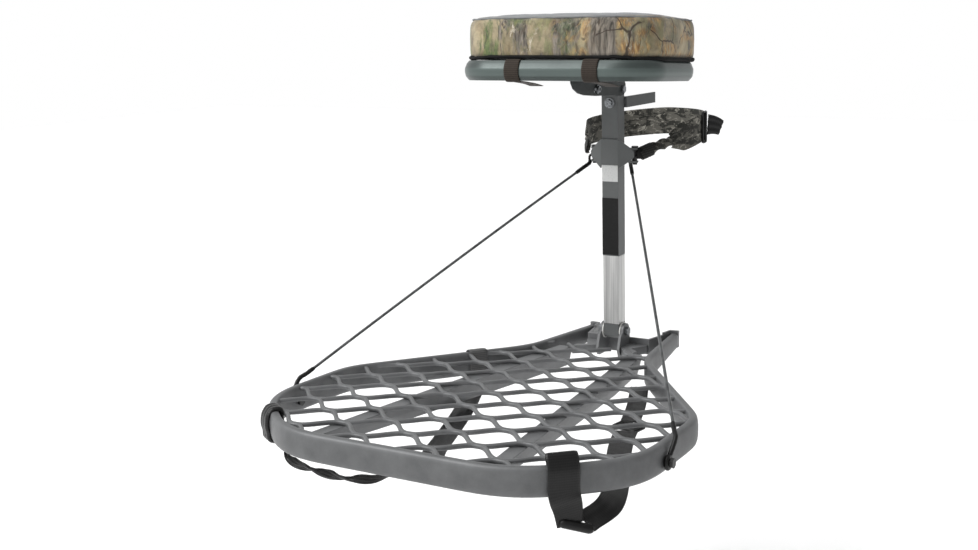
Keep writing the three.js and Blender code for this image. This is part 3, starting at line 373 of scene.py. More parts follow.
def cushion_cloth():
    """Woodland camouflage on the sides, grey on top, black underneath, by the height that the mesh carries."""
    n = Nodes("cushion_cloth")
    across = n.new("SeparateXYZ", {0: n.place}).outputs[0]
    left = n.ramp(n.math("ADD", across, 0.5), [(0.38, 1.0), (0.56, 0.25)])
    right = n.ramp(n.math("ADD", across, 0.5), [(0.50, 0.15), (0.58, 1.0)])
    trunk = n.math("ADD", across, n.math("MULTIPLY", n.noise(40, 4, 0.6), 0.03))
    upright = n.stretched((1.0, 1.0, 0.45))
    leaning = n.new("Mapping", {"Vector": n.place, "Rotation": (0, 0.7, 0.4), "Scale": (1, 1, 0.4)}).outputs[0]
    soft = n.noise(60, 6, 0.66, warp=0.8)
    base = n.mix(n.ramp(soft, [(0.36, 0.0), (0.64, 1.0)]), rgb(96, 87, 66), rgb(166, 153, 124))
    bark = n.noise(52, 7, 0.76, n.stretched((1.0, 1.0, 0.3)), 0.7)
    streak = n.noise(5, 3, 0.6, n.stretched((1.0, 1.0, 0.14)), 0.5)
    barks = n.mix(n.ramp(streak, [(0.35, 0.0), (0.68, 1.0)]), rgb(34, 31, 30), rgb(134, 126, 116))
    base = n.mix(n.ramp(bark, [(0.53, 0.0), (0.57, 0.95)]), base, barks)
    pale = n.noise(26, 7, 0.78, leaning, 1.6)
    base = n.mix(n.ramp(pale, [(0.60, 0.0), (0.67, 0.85)]), base, rgb(200, 192, 176))
    green = n.noise(62, 7, 0.72, leaning, 1.0)
    leaf = n.noise(9, 4, 0.7, leaning, 1.0)
    greens = n.mix(n.ramp(leaf, [(0.40, 0.0), (0.60, 1.0)]), rgb(28, 60, 28), rgb(96, 114, 64))
    base = n.mix(n.math("MULTIPLY", n.ramp(green, [(0.46, 0.0), (0.55, 0.95)]), left), base, greens)
    tan = n.new("TexVoronoi", {"Vector": n.stretched((1.0, 1.0, 1.6)), "Scale": 1 / (34 * MM), "Randomness": 1.0},
                feature="SMOOTH_F1").outputs["Distance"]
    leaves = n.ramp(n.noise(22, 6, 0.74, leaning, 1.8), [(0.46, 0.0), (0.54, 0.9)])
    tan_mask = n.math("MULTIPLY", n.ramp(tan, [(0.34, 1.0), (0.52, 0.0)]), leaves)
    tans = n.mix(n.ramp(leaf, [(0.42, 0.0), (0.62, 1.0)]), rgb(112, 80, 46), rgb(184, 150, 96))
    base = n.mix(n.math("MULTIPLY", tan_mask, right), base, tans)
    patch = n.ramp(trunk, [(0.080, 0.0), (0.084, 1.0)])
    patch = n.math("MULTIPLY", patch, n.ramp(trunk, [(0.126, 1.0), (0.130, 0.0)]))
    base = n.mix(n.math("MULTIPLY", patch, 0.92), base, barks)
    warp = n.mix(0.045, n.place, n.new("TexNoise", {"Vector": n.place, "Scale": 26.0}).outputs["Color"])
    twig = n.new("TexVoronoi", {"Vector": warp, "Scale": 19.0}, feature="DISTANCE_TO_EDGE").outputs["Distance"]
    broken = n.math("MULTIPLY", n.ramp(n.noise(46, 3, 0.6), [(0.40, 0.0), (0.47, 0.9)]), right)
    base = n.mix(n.math("MULTIPLY", n.ramp(twig, [(0.016, 1.0), (0.04, 0.0)]), broken), base, rgb(50, 38, 30))
    thread = cloth_bump(n)
    base = n.mix(n.math("MULTIPLY", thread, 0.18), base, rgb(60, 54, 44), "MULTIPLY")
    height = n.new("Attribute", attribute_name="up").outputs["Fac"]
    grey = n.mix(n.ramp(n.noise(30, 4, 0.6), [(0.35, 0.0), (0.7, 1.0)]), rgb(104, 107, 110), rgb(126, 129, 131))
    base = n.mix(n.ramp(n.math("SUBTRACT", height, (CUSHION_THICK - 3) * MM - 0.5), [(0.4999, 0.0), (0.5003, 1.0)]),
                 base, grey)
    base = n.mix(n.ramp(n.math("ADD", height, 0.5 - 0.004), [(0.4998, 1.0), (0.5002, 0.0)]), base, rgb(24, 24, 24))
    n.set(Base_Color=base, Roughness=0.85, Sheen_Weight=0.2, Sheen_Roughness=0.45)
    n.bump(n.mix(0.3, thread, n.noise(0.8, 2, 0.6)), 0.22, 0.8)
    return n.material


def cable_coat():
    n = Nodes("coated_cable")
    n.set(Base_Color=n.mix(n.ramp(n.noise(14, 3, 0.6), [(0.35, 0.0), (0.7, 1.0)]), rgb(46, 48, 49), rgb(84, 86, 87)),
          Metallic=0.35, Roughness=0.42, Coat_Weight=0.5, Coat_Roughness=0.25)
    n.bump(n.noise(0.6, 2, 0.5), 0.03, 0.5)
    return n.material


def label_face(name, colour, border):
    """A blank printed label: faint wear in its border colour and a slightly glossy film."""
    n = Nodes(name)
    wear = n.noise(3, 5, 0.7)
    base = n.mix(n.ramp(wear, [(0.52, 0.0), (0.7, 0.6)]), colour, border)
    n.set(Base_Color=base, Roughness=0.38, Specular_IOR_Level=0.25)
    n.bump(n.noise(1.2, 2, 0.5), 0.02, 0.5, 0.3)
    return n.material


CAST = powder_coat("cast_powder_coat", rgb(66, 67, 68), rgb(92, 93, 94), 0.5, 0.3, 1.1, 0.09, 1.4)
POST_PAINT = powder_coat("post_powder_coat", rgb(60, 62, 62), rgb(74, 76, 76), 0.48, 0.3, 0.8, 0.04, 1.0)
# the seat paint's last argument paints a highlight on the rail's upright faces
SEAT_PAINT = powder_coat("seat_powder_coat", rgb(47, 54, 53), rgb(60, 68, 66), 0.36, 0.45, 0.8, 0.04, 0.4, 0.7)
BARE = bare_tube()
ZINC = zinc()
NYLON = moulded("white_nylon", rgb(206, 206, 202), rgb(226, 226, 222), 0.45)
BLACK = moulded("black_plastic", rgb(10, 10, 10), rgb(22, 22, 22), 0.35, gloss=0.25)
BLACK_OXIDE = moulded("black_oxide", rgb(20, 20, 20), rgb(44, 44, 44), 0.4, gloss=0.4)
SLEEVE = moulded("heat_shrink", rgb(8, 8, 8), rgb(20, 20, 20), 0.35, 0.08, gloss=0.25)
CARRY = woven_strap("carry_webbing", rgb(6, 6, 6), rgb(20, 20, 20), 1.6, shine=0.36, gloss=0.3)
# painted light: a grey copy of the black carry webbing, lightened for the sky light on the anchor strap over the left
# rim
CARRY_SKYLIT = woven_strap("carry_webbing_painted_skylight", rgb(70, 70, 70), rgb(96, 96, 96), 1.6)
SEAT_STRAP = woven_strap("seat_webbing", rgb(34, 29, 25), rgb(58, 51, 45), 1.6)
TREE_STRAP = woven_strap("tree_webbing", rgb(30, 30, 28), rgb(50, 50, 46), 1.8, (rgb(92, 90, 84), rgb(146, 143, 134)))
CLOTH = cushion_cloth()
PIPING = moulded("black_piping", rgb(8, 8, 8), rgb(22, 22, 22), 0.75, 0.1, gloss=0.15)
CABLE = cable_coat()
# painted shade: the fins, spacer and cross plate under the seat are painted much darker than the post for the seat's
# shadow on them
FIN_PAINT_SHADED = moulded("fin_coat_painted_shade", rgb(22, 27, 27), rgb(36, 41, 41), 0.5, gloss=0.3)
LABEL_LIGHT = label_face("blank_light_label", rgb(196, 197, 196), rgb(160, 161, 160))
LABEL_DARK = label_face("blank_dark_label", rgb(10, 10, 10), rgb(30, 30, 31))


# ---------- platform ----------
def rim_outline(inset, arc_steps=8):
    """The rim from the left tip round the front to the right tip, as the CAD rim but with finer arcs."""
    half = RIM_HALF_WIDTH - inset
    front = RIM_FRONT + inset
    radius = RIM_CORNER - inset
    chamfer = RIM_CHAMFER - inset * (2 - math.sqrt(2))
    tangent = radius * math.tan(math.pi / 8)
    right = []
    for centre, start in (((half - chamfer - tangent, front + radius), 0),
                          ((half - radius, front + chamfer + tangent), 45)):
        for k in range(arc_steps + 1):
            angle = math.radians(start + 45 * k / arc_steps)
            right.append((centre[0] + radius * math.sin(angle), centre[1] - radius * math.cos(angle)))
    neck = (RIM_NECK[0] - inset, RIM_NECK[1] - inset * 0.3)
    right += [(half, RIM_SIDE_END - 14), (half - 8, RIM_SIDE_END + 8), (neck[0] + 10, neck[1] - 16),
              (neck[0] - 2, neck[1] + 8), (RIM_TIP[0] - inset, RIM_TIP[1])]
    return [(-x, y) for x, y in reversed(right)] + right


def softened(path, step=7.0, passes=14):
    """The path in short steps with its corners eased."""
    points = []
    for a, b in zip(path, path[1:]):
        count = max(1, int(math.dist(a, b) / step))
        points += [np.array(a) + (np.array(b) - np.array(a)) * k / count for k in range(count)]
    points = np.array(points + [np.array(path[-1])])
    for _ in range(passes):
        points[1:-1] = (points[:-2] + 2 * points[1:-1] + points[2:]) / 4
    return points


def platform_rim():
    t = RIM_THICKNESS / 2
    profile = [(-t, -6), (-t + 0.5, -2.4), (-t + 1.9, -0.5), (-t + 4, 0), (0.6, 0), (2.6, -0.5), (t - 2.6, -1.9),
               (t - 1.5, -3.6), (t - 0.7, -7.5), (t - 0.1, -13), (t, -20), (t - 0.1, -27), (t - 0.8, -32.5),
               (t - 2, -36.6), (t - 4.2, -39), (t - 7, -40), (-t + 3, -40), (-t + 0.8, -38.4), (-t, -35), (-t, -20)]
    path = softened(rim_outline(t))
    n = len(path)
    rings = []
    for i, p in enumerate(path):
        along = path[min(n - 1, i + 1)] - path[max(0, i - 1)]
        along = along / np.linalg.norm(along)
        out = np.array((along[1], -along[0]))
        past_neck = min(1.0, max(0.0, (p[1] - RIM_NECK[1]) / 190))
        tall = 1 + (TIP_SHARE - 1) * past_neck
        rings.append([deck(*(p + out * o), up * tall) for o, up in profile])
    placed(rings_piece("rim_cast", rings, CAST), "platform", "cast_frame", "platform_rim")


def inside(point, outline):
    x, y = point
    hit = False
    for (x0, y0), (x1, y1) in zip(outline, outline[1:] + outline[:1]):
        if (y0 > y) != (y1 > y) and x < (x1 - x0) * (y - y0) / (y1 - y0) + x0:
            hit = not hit
    return hit


def strand_height(share):
    """How far a strand has crossed from one bond to the next, from 0 to 1, with the bonds held level."""
    flat = 0.055
    s = min(1.0, max(0.0, (share - flat) / (1 - 2 * flat)))
    return 0.5 - 0.5 * math.cos(math.pi * s)


def platform_mesh():
    """Strands of expanded metal: each crosses the deck in long S-curves and meets its neighbours in bonds."""
    outline = rim_outline(RIM_THICKNESS * 0.62)
    section = [(-0.5, -0.1), (-0.42, -0.42), (-0.15, -0.5), (0.15, -0.5), (0.42, -0.42), (0.5, -0.1),
               (0.5, 0.2), (0.36, 0.45), (0.1, 0.5), (-0.1, 0.5), (-0.36, 0.45), (-0.5, 0.2)]
    pieces = []
    for k in range(-7, 14):
        base = (k - 13.5) * CELL_Y
        run = []
        lines = []
        for x in np.arange(-306, 307, 3.0):
            u = x / CELL_X + 0.37
            cell = math.floor(u)
            rising = (cell + k) % 2 == 1
            share = strand_height(u - cell)
            up = share if rising else 1 - share
            y = base + 1.3 + (CELL_Y - 2.6) * up
            lean = 0.5 * math.sin(math.pi * (u - cell)) * (1 if rising else -1)
            if inside((x, y), outline) and y < MESH_REAR:
                run.append((x, y, lean))
            elif run:
                lines.append(run)
                run = []
        lines += [run] if run else []
        for line in lines:
            if len(line) < 4:
                continue
            rings = []
            for i, (x, y, lean) in enumerate(line):
                a, b = line[max(0, i - 1)], line[min(len(line) - 1, i + 1)]
                along = Vector((b[0] - a[0], b[1] - a[1])).normalized()
                out = Vector((-along.y, along.x))
                rings.append([deck(x + out.x * w * STRAND_WIDTH, y + out.y * w * STRAND_WIDTH,
                                   -STRAND_DROP - STRAND_HEIGHT / 2 + h * STRAND_HEIGHT + lean * w) for w, h in section])
            pieces.append(rings_piece("strand", rings, CAST))
    placed(join("deck_strands", pieces), "platform", "cast_frame", "platform_mesh")


# ---------- cables ----------
NECKS = {1: [(35.2, -76.2, 326), (31, -71, 318), (25, -71, 311)],
         -1: [(-43.5, -82, 326), (-48.2, -82, 322), (-47, -84, 311)]}
WORD = {1: "right", -1: "left"}
CABLE_DIAMETER = 4.6
SLEEVE_LENGTH = 34
LOW_SLEEVE_LENGTH = 30


def cable_ends(side):
    lug = (side * (RIM_HALF_WIDTH + 0.3), CABLE_SIDE, -CABLE_DROP)
    foot = deck(lug[0] + side * 4.5, CABLE_SIDE + 22, 2.5)
    top = row(*NECKS[side][2])
    return top, foot, lug


def support_cable(side):
    top, foot, lug = cable_ends(side)
    along = (foot - top).normalized()
    a = top + along * (SLEEVE_LENGTH - 4) * MM
    b = foot - along * (LOW_SLEEVE_LENGTH - 4) * MM
    count = 190
    line = [a.lerp(b, k / count) + Vector((0, 0, 2.5 * 4 * (k / count) * (1 - k / count) * MM))
            for k in range(count + 1)]
    wire = tube("cable_" + WORD[side], line, CABLE_DIAMETER / 2, CABLE, 16)
    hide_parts("support_cable_" + WORD[side])
    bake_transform(wire)


def sleeve_radius(share):
    ends = min(share, 1 - share)
    return 3.4 - 0.9 * max(0.0, 1 - ends / 0.09) ** 2 + 0.12 * math.sin(share * 40)


def upper_sleeve(side):
    top, foot, lug = cable_ends(side)
    along = (foot - top).normalized()
    pin = row(side * 38, -82, 326)
    start, bend, end = [row(*p) for p in NECKS[side]]
    eye = tube("eye", ring_points(pin, (0, 0, 1), 6.2), 1.7, SLEEVE, 10, closed=True)
    neck = tube("neck", spline([start, bend, end]), 2.2, SLEEVE)
    body = tube("body", spline([bend.lerp(end, 0.5), end, end + along * SLEEVE_LENGTH * 0.5 * MM,
                                end + along * SLEEVE_LENGTH * MM], 1.5), sleeve_radius, SLEEVE, 16)
    name = "cable_sleeve_upper_" + WORD[side]
    placed(join("sleeve_upper_" + WORD[side], [body, neck, eye]), "post", "black_sleeve", name)


def lower_sleeve(side):
    top, foot, lug = cable_ends(side)
    along = (foot - top).normalized()
    x, y, up = lug
    eye_x = x + side * 3.6
    centre = deck(eye_x, y, up)
    across = deck(1, 0) - deck(0, 0)
    eye = tube("eye", ring_points(centre, across, 7.8), 3.1, SLEEVE, 12, closed=True)
    line = spline([deck(eye_x, y + 4, up + 7), foot, foot - along * 15 * MM, foot - along * LOW_SLEEVE_LENGTH * MM], 1.5)
    body = tube("body", line, sleeve_radius, SLEEVE, 16)
    placed(join("sleeve_lower_" + WORD[side], [body, eye]), "platform", "black_sleeve",
           "cable_sleeve_lower_" + WORD[side])


# ---------- seat ----------
def seat_plan(inset, shift=0.0, steps=14):
    r = SEAT_CORNER - inset
    w, d = SEAT_WIDTH / 2 - inset - r, SEAT_DEPTH / 2 - inset - r
    plan = []
    for sx, sy, start in ((1, -1, -90), (1, 1, 0), (-1, 1, 90), (-1, -1, 180)):
        for k in range(steps + 1):
            angle = math.radians(start + 90 * k / steps)
            plan.append((sx * w + r * math.cos(angle), SEAT_CENTRE + shift + sy * d + r * math.sin(angle)))
    return plan


def seat_rail():
    w, h = RAIL_WIDTH / 2, RAIL_HEIGHT
    corners = [(-w, h * 0.3), (-w * 0.5, 0), (w * 0.4, 0), (w * 0.86, h * 0.2), (w, h * 0.42),
               (w, h * 0.6), (w * 0.72, h * 0.86), (w * 0.4, h), (-w * 0.5, h), (-w, h * 0.7)]
    profile = []
    for i, (x, y) in enumerate(corners):
        before, after = corners[i - 1], corners[(i + 1) % len(corners)]
        profile += [(x + (q[0] - x) * 0.07, y + (q[1] - y) * 0.07) for q in (before, after)]
    rings = []
    inner, outer = seat_plan(RAIL_WIDTH), seat_plan(0)
    for (x0, y0), (x1, y1) in zip(inner, outer):
        rings.append([seat(x0 + (x1 - x0) * (o / w + 1) / 2, y0 + (y1 - y0) * (o / w + 1) / 2, up)
                      for o, up in profile])
    rail = rings_piece("seat_rail_tube", rings, SEAT_PAINT, closed=True)
    rail.data.set_sharp_from_angle(angle=math.radians(16))
    placed(rail, "seat", "seat_paint", "seat_rail")


def cushion_start():
    """The cushion before it is blown up: a boxed slab, a little small, its top slightly crowned."""
    top = CUSHION_THICK
    rows = [(16, 0), (5, 0.6), (3.4, 4), (2.6, top * 0.5), (3.2, top - 13), (4.8, top - 7), (8.2, top - 2.6),
            (14, top), (34, top + 2.4), (60, top + 3.6)]
    rings = [[seat(x, y, CUSHION_UP + up) for x, y in seat_plan(inset, CUSHION_SHIFT)] for inset, up in rows]
    return rings_piece("cushion_padded", rings, CLOTH)


def local_up(point):
    """How far a point is above the cushion's underside, in millimetres."""
    base, over = seat(0, point.y / MM, CUSHION_UP), seat(0, point.y / MM, CUSHION_UP + 1)
    return (point - base).dot((over - base).normalized()) / MM


def blow_up(piece):
    """Fills the cushion by cloth simulation: its seams stay put and the cloth between them swells."""
    bpy.context.view_layer.objects.active = piece
    remesh = piece.modifiers.new("remesh", "REMESH")
    remesh.mode = "VOXEL"
    remesh.voxel_size = 0.005
    bpy.ops.object.modifier_apply(modifier=remesh.name)
    rest = [v.co.copy() for v in piece.data.vertices]
    heights = [local_up(p) for p in rest]
    seams = piece.vertex_groups.new(name="seams")
    for i, up in enumerate(heights):
        top_edge = abs(up - (CUSHION_THICK - 3)) < 3.0
        if top_edge or up < 5:
            seams.add([i], 1.0 if up < 5 else 0.8, "REPLACE")
    cloth = piece.modifiers.new("cloth", "CLOTH")
    cloth.settings.use_pressure = True
    cloth.settings.uniform_pressure_force = 4
    cloth.settings.effector_weights.gravity = 0
    cloth.settings.vertex_group_mass = seams.name
    cloth.point_cache.frame_end = 20
    for frame_number in range(1, 21):
        bpy.context.scene.frame_set(frame_number)
    evaluated = piece.evaluated_get(bpy.context.evaluated_depsgraph_get())
    moved = [v.co.copy() for v in evaluated.data.vertices]
    piece.modifiers.remove(cloth)
    bpy.context.scene.frame_set(1)
    for vertex, start, end in zip(piece.data.vertices, rest, moved):
        shift = end - start
        most = 5.0 * MM
        vertex.co = start + (shift if shift.length < most else shift.normalized() * most)


def soft_creases(piece):
    """Shallow dents and pulls in the cloth, deepest beside the seams."""
    for vertex in piece.data.vertices:
        up = local_up(vertex.co)
        if up < 3:
            continue
        normal = Vector(vertex.normal)
        near_seam = math.exp(-((up - (CUSHION_THICK - 3)) / 9) ** 2) + math.exp(-((up - 2) / 8) ** 2)
        broad = noise.noise(vertex.co * 16)
        fine = noise.noise(Vector((vertex.co.x * 62, vertex.co.y * 62, vertex.co.z * 24)))
        vertex.co += normal * (1.3 * broad + (0.3 + 0.9 * near_seam) * fine) * MM


def cushion():
    piece = cushion_start()
    blow_up(piece)
    bpy.context.view_layer.objects.active = piece
    rounder = piece.modifiers.new("rounder", "SUBSURF")
    rounder.levels = rounder.render_levels = 1
    bpy.ops.object.modifier_apply(modifier=rounder.name)
    soft_creases(piece)
    piece.data.shade_smooth()
    layer = piece.data.attributes.new("up", "FLOAT", "POINT")
    layer.data.foreach_set("value", [local_up(v.co) * MM for v in piece.data.vertices])
    placed(piece, "seat", "cushion_fabric", "seat_cushion")


def cushion_trim():
    """Piping round the foot and a sewn seam round the top edge."""
    def wavy(plan, up, depth):
        return [seat(x, y, up + depth * (math.sin(i * 0.55) + 0.5 * math.sin(i * 1.31)
                                         - 3 * min(1, max(0, (x - 110) / 40))))
                for i, (x, y) in enumerate(plan)]

    foot = tube("cushion_piping", wavy(seat_plan(4.6, CUSHION_SHIFT, 20), CUSHION_UP + 1.0, 0.8), 3.0, PIPING, 12, closed=True)
    placed(foot, "seat", "cushion_fabric")
    edge = tube("cushion_top_seam", wavy(seat_plan(8.0, CUSHION_SHIFT, 20), CUSHION_UP + CUSHION_THICK - 2.6, 0.3), 1.1,
                PIPING_GREY, 10, closed=True)
    placed(edge, "seat", "cushion_fabric")


def cushion_strap(side, x):
    """A webbing loop that holds the cushion to the front rail."""
    front = SEAT_CENTRE - SEAT_DEPTH / 2
    w, h, off = RAIL_WIDTH / 2, RAIL_HEIGHT, 1.0
    loop = [(-w * 1.1, h + off), (-w * 0.5, h + off), (0.4 * w, h + off), (0.78 * w, 0.88 * h + 0.6), (w + off, 0.6 * h),
            (w + off, 0.42 * h), (0.88 * w + 0.6, 0.18 * h), (0.4 * w, -off), (-w * 0.5, -off),
            (-w - 14, -off - 1.5), (-w - 40, -off - 4), (-w - 62, -off - 7.5)]
    line = spline([seat(x, front + w - out, up) for out, up in loop], 2)
    strap = webbing("cushion_loop_" + WORD[side], line, 26, 1.5, lambda i, s: Vector((1, 0, 0)), SEAT_STRAP)
    placed(strap, "seat", "cushion_webbing", "cushion_strap_" + WORD[side])


# ---------- tree strap ----------
def round_trunk(degrees, radius, z):
    a = math.radians(degrees)
    return row(radius * math.sin(a), TRUNK_Y - radius * math.cos(a), z)


def web_height(degrees):
    return float(np.interp(degrees, [62, 80, 100, 180, 250, 300], [353, 360, 365, 366, 356, 350]))


def tree_web():
    radius = TRUNK_RADIUS + WEB_THICK / 2 + 1
    points = [row(80, -21, 346.5), row(87, -8, 350)]
    points += [round_trunk(a, radius, web_height(a)) for a in range(66, 297, 10)]
    points += [row(-88, -8, 348), row(-82, -21, 345)]
    line = spline(points, 4)

    def gathered(share):
        return max(0.0, 1 - min(share, 1 - share) / 0.05)

    web = webbing("tree_web", line, lambda s: WEB_WIDTH * (1 - 0.48 * gathered(s)), 2.4,
                  lambda i, s: Vector((0, 0, 1)), TREE_STRAP, folds=lambda s: 2.6 * gathered(s) ** 0.7)
    placed(web, "post", "tree_webbing", "tree_strap_web")


def wound(name, axis_points, turns, radius, width, material, phase=0.0, flat=1.0):
    """Webbing wound round a line, as a wrapped bundle."""
    axis = spline(axis_points, 1.0)
    along = tangents(axis)
    side = along[0].orthogonal().normalized()
    steps = int(turns * 40)
    points, outs = [], []
    for k in range(steps + 1):
        place = k / steps * (len(axis) - 1)
        i = min(len(axis) - 2, int(place))
        p = axis[i].lerp(axis[i + 1], place - i)
        t = along[i]
        side = (side - t * side.dot(t)).normalized()
        angle = phase + 2 * math.pi * turns * k / steps
        out = side * math.cos(angle) * flat + t.cross(side) * math.sin(angle)
        points.append(p + out * radius * MM)
        outs.append(t)
    return webbing(name, points, width, 2.2, lambda i, s: outs[i], material)


def tree_ends():
    wrap_line = [row(41, -83, 327.5), row(48, -78, 330), row(54.5, -70, 333.5), row(60, -62, 336.5)]
    inner = tube("core", spline(wrap_line), lambda s: 9.2 - 2.5 * (2 * s - 1) ** 4, TREE_STRAP_DARK, 16)
    wrap = wound("wrap", wrap_line[1:], 4.1, 10.6, 8.5, TREE_STRAP_DARK, flat=0.9)
    placed(join("tree_wrap", [wrap, inner]), "post", "tree_webbing", "tree_strap_wrap")
    link_line = [row(61, -59, 338), row(66, -47, 340.5), row(73, -34, 343.5), row(80, -20, 346.5)]
    strands = [wound("link", link_line, 0.9, 6.0, 18, TREE_STRAP, phase=p, flat=0.9) for p in (0.4, 3.5)]
    placed(join("tree_link", strands), "post", "tree_webbing", "tree_strap_link")
    hook_line = [row(-50.5, -81, 333.5), row(-54, -73, 335.5), row(-61, -60, 338.5), row(-71, -41, 341.5), row(-80, -24, 344.5)]
    hook = webbing("hook", spline(hook_line, 2), lambda s: 15 + 11 * math.sin(math.pi * min(1, s * 1.25)), 3.2,
                   lambda i, s: Vector((0.25, 0, 1)), TREE_STRAP, folds=lambda s: 1.4)
    layer = webbing("layer", [p + Vector((-0.0032, -0.001, 0.0008)) for p in spline(hook_line[:4], 2)],
                    lambda s: 14 + 8 * math.sin(math.pi * s), 2.4, lambda i, s: Vector((0.25, 0, 1)), TREE_STRAP_DARK)
    placed(join("tree_hook", [hook, layer]), "post", "tree_webbing", "tree_strap_hook")


def tree_keeper():
    """The plastic slide on the web and the strap's free tail behind it."""
    radius = TRUNK_RADIUS + WEB_THICK + 3.4
    z = web_height(97)
    for_height = WEB_WIDTH / 2 + 2
    loop = []
    for up, start, end in ((-for_height, 90.5, 103.5), (for_height, 103.5, 90.5)):
        loop += [round_trunk(start + (end - start) * k / 6, radius, z + up) for k in range(7)]
    frame_bar = tube("slide", loop, 2.1, BLACK, 10, closed=True)
    middle = tube("bar", [round_trunk(97, radius + 1.2, z - for_height), round_trunk(97, radius + 1.2, z + for_height)],
                  2.0, BLACK, 10)
    cover = webbing("cover", [round_trunk(a, radius - 1.0, z) for a in (90.5, 94, 97, 100, 103.5)], WEB_WIDTH, 2.0,
                    lambda i, s: Vector((0, 0, 1)), BLACK)
    placed(join("tree_slide", [frame_bar, middle, cover]), "post", "black_plastic", "tree_strap_keeper")
    tail = [round_trunk(107 + 1.5 * k, TRUNK_RADIUS + WEB_THICK + 6 + out, 367 - 0.012 * out * out)
            for k, out in enumerate((0, 9, 17, 24))]
    free = webbing("tail", spline(tail, 2), lambda s: 37 - 9 * s, 2.0, lambda i, s: Vector((0, 0.1, 1)), CARRY,
                   folds=lambda s: 0.8)
    placed(free, "post", "tree_webbing", "tree_strap_tail")


# ---------- carrying straps ----------
def rim_loop(x, y, degrees, tail, inner, bulge=0.0):
    """The line of a webbing loop over the rim: from inside, over the top and down to its tail."""
    turn = math.radians(degrees)
    r, off = RIM_THICKNESS / 2, 1.9
    hang = inner + ([] if inner[-1][1] > off else [(-r + 1.5, off), (r - 3, off - 0.2)])
    hang += [(r + 0.8, -1.2), (r + off + bulge, -9), (r + off + bulge * 1.4, -22), (r + off + bulge * 0.6, -32)] + tail
    line = []
    for out, up, *along in hang:
        slide = along[0] if along else 0.0
        line.append(deck(x + out * math.cos(turn) - slide * math.sin(turn),
                         y + out * math.sin(turn) + slide * math.cos(turn), up))
    side = deck(-math.sin(turn), math.cos(turn)) - deck(0, 0)
    return spline(line, 2), side.normalized()


def loop_strap(name, node, x, y, degrees, width, tail, inner, folds=None, bulge=0.0, thick=1.8, material=None):
    line, side = rim_loop(x, y, degrees, tail, inner, bulge)
    strap = webbing(name, line, width, thick, lambda i, s: side, material or CARRY, folds)
    placed(strap, "platform", "carry_webbing", node)


def run_strap(name, node, points, width, roll=0.0):
    line = spline([deck(*p) for p in points], 4)
    along = tangents(line)

    def level(i, share):
        flat = along[i].cross(Vector((0, 0, 1))).normalized()
        return Matrix.Rotation(roll * (1 - share), 3, along[i]) @ flat

    strap = webbing(name, line, width, 1.8, level, CARRY, folds=lambda s: 0.25)
    placed(strap, "platform", "carry_webbing", node)


def ladder_buckle(name, node, centre, along, length, breadth, depth):
    """A moulded buckle: a rounded frame with cross bars that the webbing threads through."""
    c = deck(*centre)
    a = Vector(along).normalized()
    up = Vector((0, 0, 1))
    b = (up.cross(a)).normalized()
    half_l, half_b, r = length / 2 - depth / 2, breadth / 2 - depth / 2, depth * 0.42
    corners = []
    for sx, sy, start in ((1, 1, 0), (-1, 1, 90), (-1, -1, 180), (1, -1, 270)):
        for k in range(5):
            t = math.radians(start + 22.5 * k)
            corners.append(c + (a * (sx * (half_l - 2) + 2 * math.cos(t)) + b * (sy * (half_b - 2) + 2 * math.sin(t))) * MM)
    parts = [tube("frame", corners, r, BLACK, 12, closed=True)]
    for at in (-0.3, 0.3) if breadth > 16 else (0.0,):
        line = [c + (a * half_l * s + b * at * breadth) * MM for s in (-1, -0.5, 0, 0.5, 1)]
        parts.append(tube("bar", line, r * 0.9, BLACK, 12))
    parts.append(webbing("fill", [c + (a * (half_l - 2) * s) * MM for s in (-1, -0.5, 0, 0.5, 1)],
                         breadth * 0.75, depth * 0.45, lambda i, s: b, CARRY))
    placed(join(name, parts), "platform", "black_plastic", node)


def carry_straps():
    loop_strap("carry_loop_r", "carry_loop_right", 224, -664, -45, lambda s: 26 + 16 * min(1, s * 2.6) - 7 * max(0, s - 0.7) / 0.3,
               [(9, -42, 2), (6, -54, 6), (4, -76, 10)], [(-11, -30), (-9.5, -10), (-8.5, 6), (-4, 15), (2, 11.5)])
    run_strap("carry_run_r", "carry_run_right", [(247, -644, -76), (262, -606, -63), (246, -545, -53), (212, -462, -47),
                                                 (189, -395, -46), (180, -362, -46)], 34, 0.5)
    run_strap("carry_run_rear_r", "carry_run_rear_right", [(168, -320, -45), (146, -245, -42), (114, -156, -38)], 30)
    ladder_buckle("carry_buckle", "carry_buckle_right", (240, -656, -78), (0.75, 0.6, -0.3), 50, 16, 14)
    ladder_buckle("carry_slider", "carry_slider_right", (174, -340, -46), (0.98, -0.2, 0), 46, 30, 7)
    loop_strap("carry_loop_l", "carry_loop_left", -246, -642, -124, 30, [(10, -40), (5, -44), (-6, -46)],
               [(-10, -26), (-9, -12), (-8.5, -2)], folds=lambda s: 0.5, bulge=3.0, thick=6.0)
    twist_line = spline([deck(*p) for p in ((-232, -634, -47), (-196, -668, -60), (-132, -681, -63), (-88, -690, -61),
                                            (-45, -688, -56), (-12, -668, -48), (6, -642, -48))], 3)
    along = tangents(twist_line)
    twisted = webbing("carry_twist", twist_line, 13, 2.6,
                      lambda i, s: Matrix.Rotation(s * 14, 3, along[i]) @ along[i].orthogonal(), CARRY,
                      folds=lambda s: 1.0)
    placed(twisted, "platform", "carry_webbing", "carry_twist_left")
    run_strap("carry_run_l", "carry_run_left", [(10, -632, -50), (-20, -572, -50), (-44, -505, -51), (-76, -415, -52),
                                                (-112, -322, -52), (-150, -232, -50)], 34)
    # the anchor strap takes the black carry webbing lightened to grey as painted sky light
    loop_strap("carry_anchor", "carry_anchor_left", -167, -200, 145, 32, [(9, -41), (4, -43.5), (-8, -44)],
               [(-10, -34), (-9, -14), (-8.5, -2)], material=CARRY_SKYLIT)


# ---------- assembly ----------
PIPING_GREY = moulded("grey_piping", rgb(104, 106, 108), rgb(124, 126, 128), 0.75, 0.1)
TREE_STRAP_DARK = woven_strap("tree_webbing_dark", rgb(20, 20, 20), rgb(46, 46, 44), 1.8)

